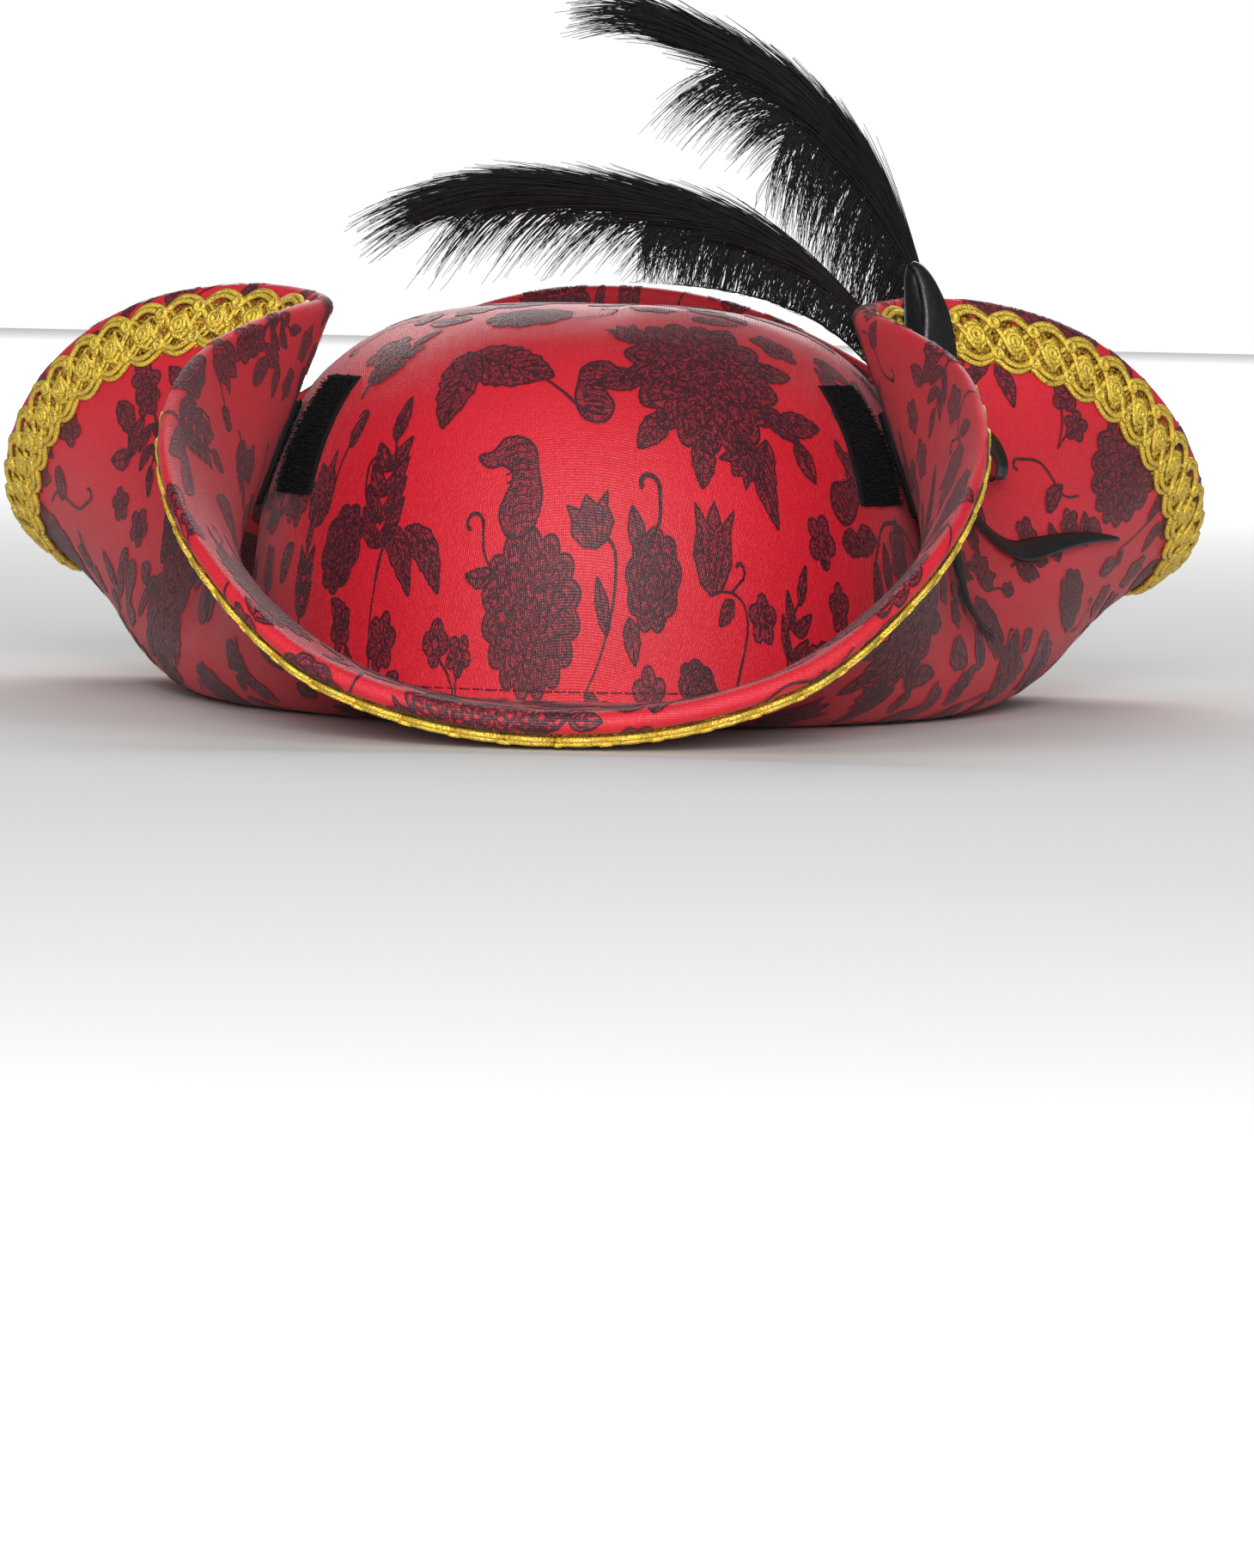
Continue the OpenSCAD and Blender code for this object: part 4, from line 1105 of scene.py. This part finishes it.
horn, shade, feed = finish_of("quill_horn", {"Coat Weight": 0.2})
grain = shade.noise(300.0, 3.0)
feed(Base_Color=grain.tint((0.02, 0.014, 0.011), (0.075, 0.052, 0.038)), Roughness=0.35 + grain * 0.25,
     Normal=grain.bump(0.0002, 0.4))
down, shade, feed = finish_of("plume_barbs", {"Specular IOR Level": 0.22})
strand = shade.noise(500.0, 2.0)
feed(Base_Color=strand.tint((0.003, 0.0025, 0.0025), (0.016, 0.012, 0.012)), Roughness=0.5 + strand * 0.2)

quill_routes = {
    "front": [(84.9, -16, 52), (84.7, -16, 60), (82.4, -16, 68), (77, -16, 78), (69, -16, 88),
              (58, -15, 98.5), (46, -14, 106.5), (30, -13, 113), (11, -13, 117), (-6, -14, 116),
              (-14, -14, 112.5),
              (-18, -15, 107), (-20, -15, 101)],
    "tall": [(86.2, 0, 52), (86.2, 0, 62), (85.4, 1, 76), (82.6, 2, 90), (78, 3, 102), (71.7, 4, 115),
             (64, 5, 126), (55, 6, 134.5), (44.4, 7, 140.3), (34, 8, 141), (26, 9, 137), (21, 10, 128),
             (18.2, 10, 119)]}
flows = {
    "front": [(72, -16, 86), (60, -16, 98), (46, -15, 108), (30, -14, 115.5), (12, -14, 119.5),
              (-10, -15, 122), (-30, -16, 121), (-48, -16, 115), (-62, -16, 106)],
    "tall": [(78.5, 3, 101), (72, 4, 116), (63, 5, 130), (50, 7, 144), (36, 9, 154), (20, 10, 161),
             (4, 10, 165.5), (-12, 10, 164)]}
barb_t = np.linspace(0, 1, 10)[:, None]
down_way = np.array((0, 0, -1.0))
barbs_above_crown = 5.5


def strand_tree():
    """A node tree that makes every loose line of points a thin strand."""
    tree, start, end = new_tree("barb_strands", ("Thickness", "Float"), ("Sides", "Int"),
                                ("Finish", "Material"))
    nodes, link = tree.nodes, tree.links.new
    line, profile = nodes.new("GeometryNodeMeshToCurve"), nodes.new("GeometryNodeCurvePrimitiveCircle")
    thin, strand = nodes.new("GeometryNodeInputNamedAttribute"), nodes.new("GeometryNodeCurveToMesh")
    real, finish = nodes.new("GeometryNodeRealizeInstances"), nodes.new("GeometryNodeSetMaterial")
    thin.inputs["Name"].default_value = "thin"
    strand.inputs["Fill Caps"].default_value = True
    for out, into in (
            (start.outputs["Geometry"], line.inputs["Mesh"]), (line.outputs[0], strand.inputs["Curve"]),
            (start.outputs["Sides"], profile.inputs["Resolution"]),
            (start.outputs["Thickness"], profile.inputs["Radius"]),
            (profile.outputs[0], strand.inputs["Profile Curve"]), (thin.outputs[0], strand.inputs["Scale"]),
            (strand.outputs[0], real.inputs[0]), (real.outputs[0], finish.inputs["Geometry"]),
            (start.outputs["Finish"], finish.inputs["Material"]),
            (finish.outputs["Geometry"], end.inputs["Geometry"])):
        link(out, into)
    return tree


strand_nodes = strand_tree()


def strands(name, paths, thickness, material):
    """One mesh of thin three-sided strands along many paths of as many points each."""
    paths = np.asarray(paths)
    count, n = paths.shape[:2]
    mesh = bpy.data.meshes.new(name + "_lines")
    edges = [(i * n + j, i * n + j + 1) for i in range(count) for j in range(n - 1)]
    mesh.from_pydata((paths.reshape(-1, 3) / 1000).tolist(), edges, [])
    mesh.attributes.new("thin", "FLOAT", "POINT").data.foreach_set(
        "value", np.tile(1 - 0.72 * np.linspace(0, 1, n) ** 1.5, count).astype(np.float32))
    return grown(name, mesh, strand_nodes, {"Thickness": thickness / 2000, "Sides": 3, "Finish": material})


def unit(vectors):
    return vectors / np.linalg.norm(vectors, axis=-1, keepdims=True)


def plume(side, under_to, shown, first, curl, outer, hanging, body, nodes, seed):
    """The quill and the barbs of one plume; outer and hanging give counts and lengths. Shown is the
    share of the quill drawn, and first and curl say where along it the barbs start and fan out."""
    rng = np.random.default_rng(seed)
    route = smooth(quill_routes[side], step=1.5)
    route = route[:int(len(route) * shown)]
    n = len(route)
    quill = piece(f"{side}_quill_shaft", *tube(route, 1.15 * (1 - 0.75 * np.arange(n) / n), 8), horn)
    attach(quill, body)
    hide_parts(nodes[0])
    way = unit(np.gradient(route, axis=0))
    flow = smooth(flows[side], step=1.0)
    last = flow[-1] + np.outer(np.arange(1, 30), unit(flow[-1] - flow[-4])) + np.outer(
        np.arange(1, 30) ** 2 * 0.012, down_way)
    flow = np.concatenate([flow, last])
    above = unit(np.cross(unit(np.gradient(flow, axis=0)), (0, 1, 0)))
    above *= np.sign(above[len(above) // 2, 2])
    index = np.arange(len(flow))
    nearest = np.array([np.argmin(np.linalg.norm(flow[:len(flow) - 29] - p, axis=1)) for p in route])
    swept = []
    for _ in range(outer[0]):
        share = rng.uniform(0, 1)
        k = int(n * (first + (curl - first) * share))
        begin = nearest[min(k, int(n * 0.9))]
        length = outer[1] * rng.uniform(0.75, 1.12) * (0.62 + 0.38 * share)
        length = min(length, len(flow) - 6 - begin)
        at = begin + length * barb_t[:, 0]
        middle = np.stack([np.interp(at, index, flow[:, c]) for c in range(3)], -1)
        out = np.stack([np.interp(at, index, above[:, c]) for c in range(3)], -1)
        off = np.clip(rng.normal(-0.8, 3.0), -7, outer[2])
        side_off = rng.normal(0, 4.4)
        swept.append(middle + (route[k] - flow[begin]) * (1 - barb_t) ** 1.6 + out * off * barb_t ** 1.3
                     + np.array((0, side_off, 0)) * barb_t ** 1.2
                     + rng.normal(0, 1, 3) * 0.9 * barb_t ** 2)
    loose = []
    hub = route[int(n * (curl + 0.99) / 2)] * 0.5 + route[int(n * curl)] * 0.5
    for _ in range(hanging[0]):
        k = min(n - 1, int(n * (first - 0.04 + (1.03 - first) * rng.uniform(0, 1) ** 0.85)))
        share = (k / n - first) / (1 - first)
        length = hanging[1] * rng.uniform(0.3, 1.08) * math.sin(math.pi * (0.22 + 0.6 * max(0, share)))
        wave = np.sin(barb_t * rng.uniform(3, 6) + rng.uniform(0, 6)) * barb_t * rng.normal(0, 1.5)
        if rng.uniform() < 0.22:
            begin = int((len(flow) - 30) * rng.uniform(0.36, under_to))
            root = flow[begin] - above[begin] * rng.uniform(1, 7)
            aim = unit(flow[begin + 3] - flow[begin]) + down_way * rng.uniform(0.05, 0.5)
            fall = hanging[1] * rng.uniform(0.35, 0.85)
            loose.append(root + aim * fall * 0.75 * barb_t + down_way * fall * 0.5 * barb_t ** 1.8
                         + wave * np.array((0.7, 0.6, 0.7)) + np.array((0, rng.normal(0, 2), 0)) * barb_t)
        elif k / n > curl:
            fan = unit(route[k] - hub + np.array((-2.0, 0, 1.0))) + way[k] * 0.8
            aim = unit(fan + rng.normal(0, 0.2, 3))
            loose.append(route[k] + aim * length * 0.6 * barb_t + down_way * length * 0.6 * barb_t ** 1.6
                         + wave * np.array((0.6, 0.5, 0.6)))
        else:
            aim = unit(way[k] * rng.uniform(0.3, 1.5) + down_way * 0.75 + rng.normal(0, 0.2, 3))
            loose.append(route[k] + aim * length * 0.5 * barb_t * (1 - 0.4 * barb_t)
                         + down_way * length * 0.72 * barb_t ** 1.25 + wave * np.array((1, 0.6, 0)))
    loose = np.array(loose)
    over = np.hypot(loose[..., 0] / crown_half_width, loose[..., 1] / crown_half_depth)
    dome = crown_height * np.maximum(0, 1 - over ** crown_square) ** (1 / crown_square)
    near = over < 1
    loose[..., 2] = np.where(near, np.maximum(loose[..., 2], dome + barbs_above_crown), loose[..., 2])
    for label, paths, thickness in (("swept", swept, 0.42), ("hanging", loose, 0.34)):
        barbs = strands(f"{side}_{label}_barbs", paths, thickness, down)
        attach(barbs, body)
        if label == "swept":
            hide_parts(nodes[1])


plume("front", 0.76, 0.74, 0.38, 0.97, (2100, 76, 5.0), (1500, 28), "front_feather",
      ("front_quill", "front_plume"), 21)
plume("tall", 0.6, 0.74, 0.33, 0.97, (2100, 68, 5.0), (1450, 42), "tall_feather",
      ("tall_quill", "tall_plume"), 33)

# ---- The ribbon bow -------------------------------------------------------------------
# A 10 mm black satin ribbon, tied on the right flap's outer face: two loops, a wrapped knot
# and two tails. The tails are drawn creased, at little over half the ribbon's width.

satin, shade, feed = finish_of("black_satin", {"Specular IOR Level": 0.35})
rib = shade.noise(900.0, 2.0)
feed(Base_Color=rib.tint((0.004, 0.004, 0.005), (0.014, 0.014, 0.017)), Roughness=0.3 + rib * 0.14,
     Normal=rib.bump(0.0002, 0.3))
ribbon_width, ribbon_thick = 10.0, 0.3
bow_u, bow_s, bow_off = 69.0, 88.0, 5.4
outer_face = -brim_half


def at_brim(u, s, off):
    return brim_point(np.array(float(u)), np.array(float(s)), np.array(outer_face - off))


bow_at = at_brim(bow_u, bow_s, bow_off)
bow_up = at_brim(bow_u, bow_s + 1, 0) - at_brim(bow_u, bow_s, 0)
bow_up /= np.linalg.norm(bow_up)
bow_out = at_brim(bow_u, bow_s, 1) - at_brim(bow_u, bow_s, 0)
bow_out /= np.linalg.norm(bow_out)
bow_back = np.cross(bow_up, bow_out)


def ribbon(name, route, flats, widths, cup):
    """A thin satin strip along a route, with its flat along flats and its edges a little curled."""
    route, flats, widths = (np.asarray(a, float) for a in (route, flats, widths))
    way = np.gradient(route, axis=0)
    way /= np.linalg.norm(way, axis=1, keepdims=True)
    face = np.cross(way, flats)
    face /= np.linalg.norm(face, axis=1, keepdims=True)
    flat = np.cross(face, way)
    columns = []
    for share in np.linspace(-1, 1, 7):
        columns.append(route + flat * (share * widths / 2)[:, None] + face * (cup * (share ** 2 - 0.4)))
    front = np.stack([c + face * ribbon_thick / 2 for c in columns], 1)
    back = np.stack([c - face * ribbon_thick / 2 for c in columns[::-1]], 1)
    points = np.concatenate([front, back], 1)
    made = piece(name, points.reshape(-1, 3), rolled_faces(*points.shape[:2]), satin)
    length = np.linalg.norm(np.diff(route, axis=0), axis=1).sum()
    return made, length


upper_loop = [(3, 0.8, 0), (10, 3.6, 0.5), (20, 6.4, 1), (29, 6.8, 1), (34, 5.2, 1), (32, 3.4, 1),
              (24, 1.6, 1), (14, -0.2, 0.5), (3, -0.8, 0)]
lower_loop = [(-up * 0.62, out * 1.1 + 0.9, back + 3 * up / 34) for up, out, back in upper_loop]
for name, points, turn, node in (("bow_upper", upper_loop, 0.85, "bow_upper_loop"),
                                 ("bow_lower", lower_loop, 0.05, "bow_lower_loop")):
    local = smooth(points, step=1.2)
    route = bow_at + local[:, :1] * bow_up + local[:, 1:2] * bow_out + local[:, 2:] * bow_back
    reach = np.abs(local[:, 0]) / 34
    narrowing = 1.0 - 0.72 * np.clip(reach - 0.35, 0, 1) / 0.65
    widths = ribbon_width * narrowing * np.clip(0.45 + reach * 2.2, 0, 1)
    flats = np.tile(bow_back + bow_out * turn, (len(route), 1))
    made, length = ribbon(name + "_satin", route, flats, widths, 0.7)
    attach(made, "right_flap")
    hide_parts(node)

knot_sides, knot_rings = 24, 9
knot_turn = np.linspace(0, 2 * math.pi, knot_sides, endpoint=False)
knot_rows = []
for share in np.linspace(-1, 1, knot_rings):
    round_off = 1 - 0.25 * share ** 2 + 0.04 * math.sin(9 * share)
    knot_rows.append(bow_at + bow_back * share * 5.0
                     + np.outer(np.cos(knot_turn) * 3.1 * round_off, bow_out)
                     + np.outer(np.sin(knot_turn) * 3.3 * round_off, bow_up))
knot_points = np.concatenate(knot_rows + [[bow_at - bow_back * 5.2], [bow_at + bow_back * 5.2]])
faces = []
for i in range(knot_rings - 1):
    for k in range(knot_sides):
        here, there, beyond = i * knot_sides, (i + 1) * knot_sides, (k + 1) % knot_sides
        faces.append((here + k, here + beyond, there + beyond, there + k))
pole, last_ring = knot_rings * knot_sides, (knot_rings - 1) * knot_sides
faces += [(pole, (k + 1) % knot_sides, k) for k in range(knot_sides)]
faces += [(pole + 1, last_ring + k, last_ring + (k + 1) % knot_sides) for k in range(knot_sides)]
knot = piece("bow_knot_satin", knot_points, faces, satin)
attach(knot, "right_flap")
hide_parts("bow_knot")

long_tail = [(71, 87, 3.5), (69.5, 76, 3.4), (69, 67, 3.2), (71, 60, 3.2), (74.5, 54.5, 3.2),
             (78.5, 52.5, 3.2), (83, 54.5, 3.2), (88, 58, 3.2), (92.5, 61.5, 3), (97, 65, 3)]
short_tail = [(67, 87, 2.3), (64, 76, 2.3), (60.5, 64, 2.3), (57.5, 52, 2.4), (57, 43, 2.6), (59.5, 36, 2.8),
              (64, 31, 3)]
tail_creased = 0.58
for name, points, twist, node in (("long_tail", long_tail, 1.0, "ribbon_long_tail"),
                                  ("short_tail", short_tail, 0.3, "ribbon_short_tail")):
    curve = smooth(points, step=0.8)
    route = brim_point(curve[:, 0], curve[:, 1], outer_face - curve[:, 2])
    off = brim_point(curve[:, 0], curve[:, 1], outer_face - curve[:, 2] - 1) - route
    way = np.gradient(route, axis=0)
    flats = np.cross(way / np.linalg.norm(way, axis=1, keepdims=True), off)
    share = np.linspace(0, 1, len(route))
    turn = twist * np.clip((share - 0.5) / 0.2, 0, 1) * 0.55
    flats = flats * np.cos(turn)[:, None] + off * np.sin(turn)[:, None]
    widths = ribbon_width * tail_creased * (1 - 0.8 * np.clip((share - 0.7) / 0.3, 0, 1)) * (
        1 - 0.35 * twist * np.exp(-((share - 0.5) / 0.07) ** 2))
    made, length = ribbon(name + "_satin", route, flats, widths, 0.3)
    bends_with(made)
    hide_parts(node)
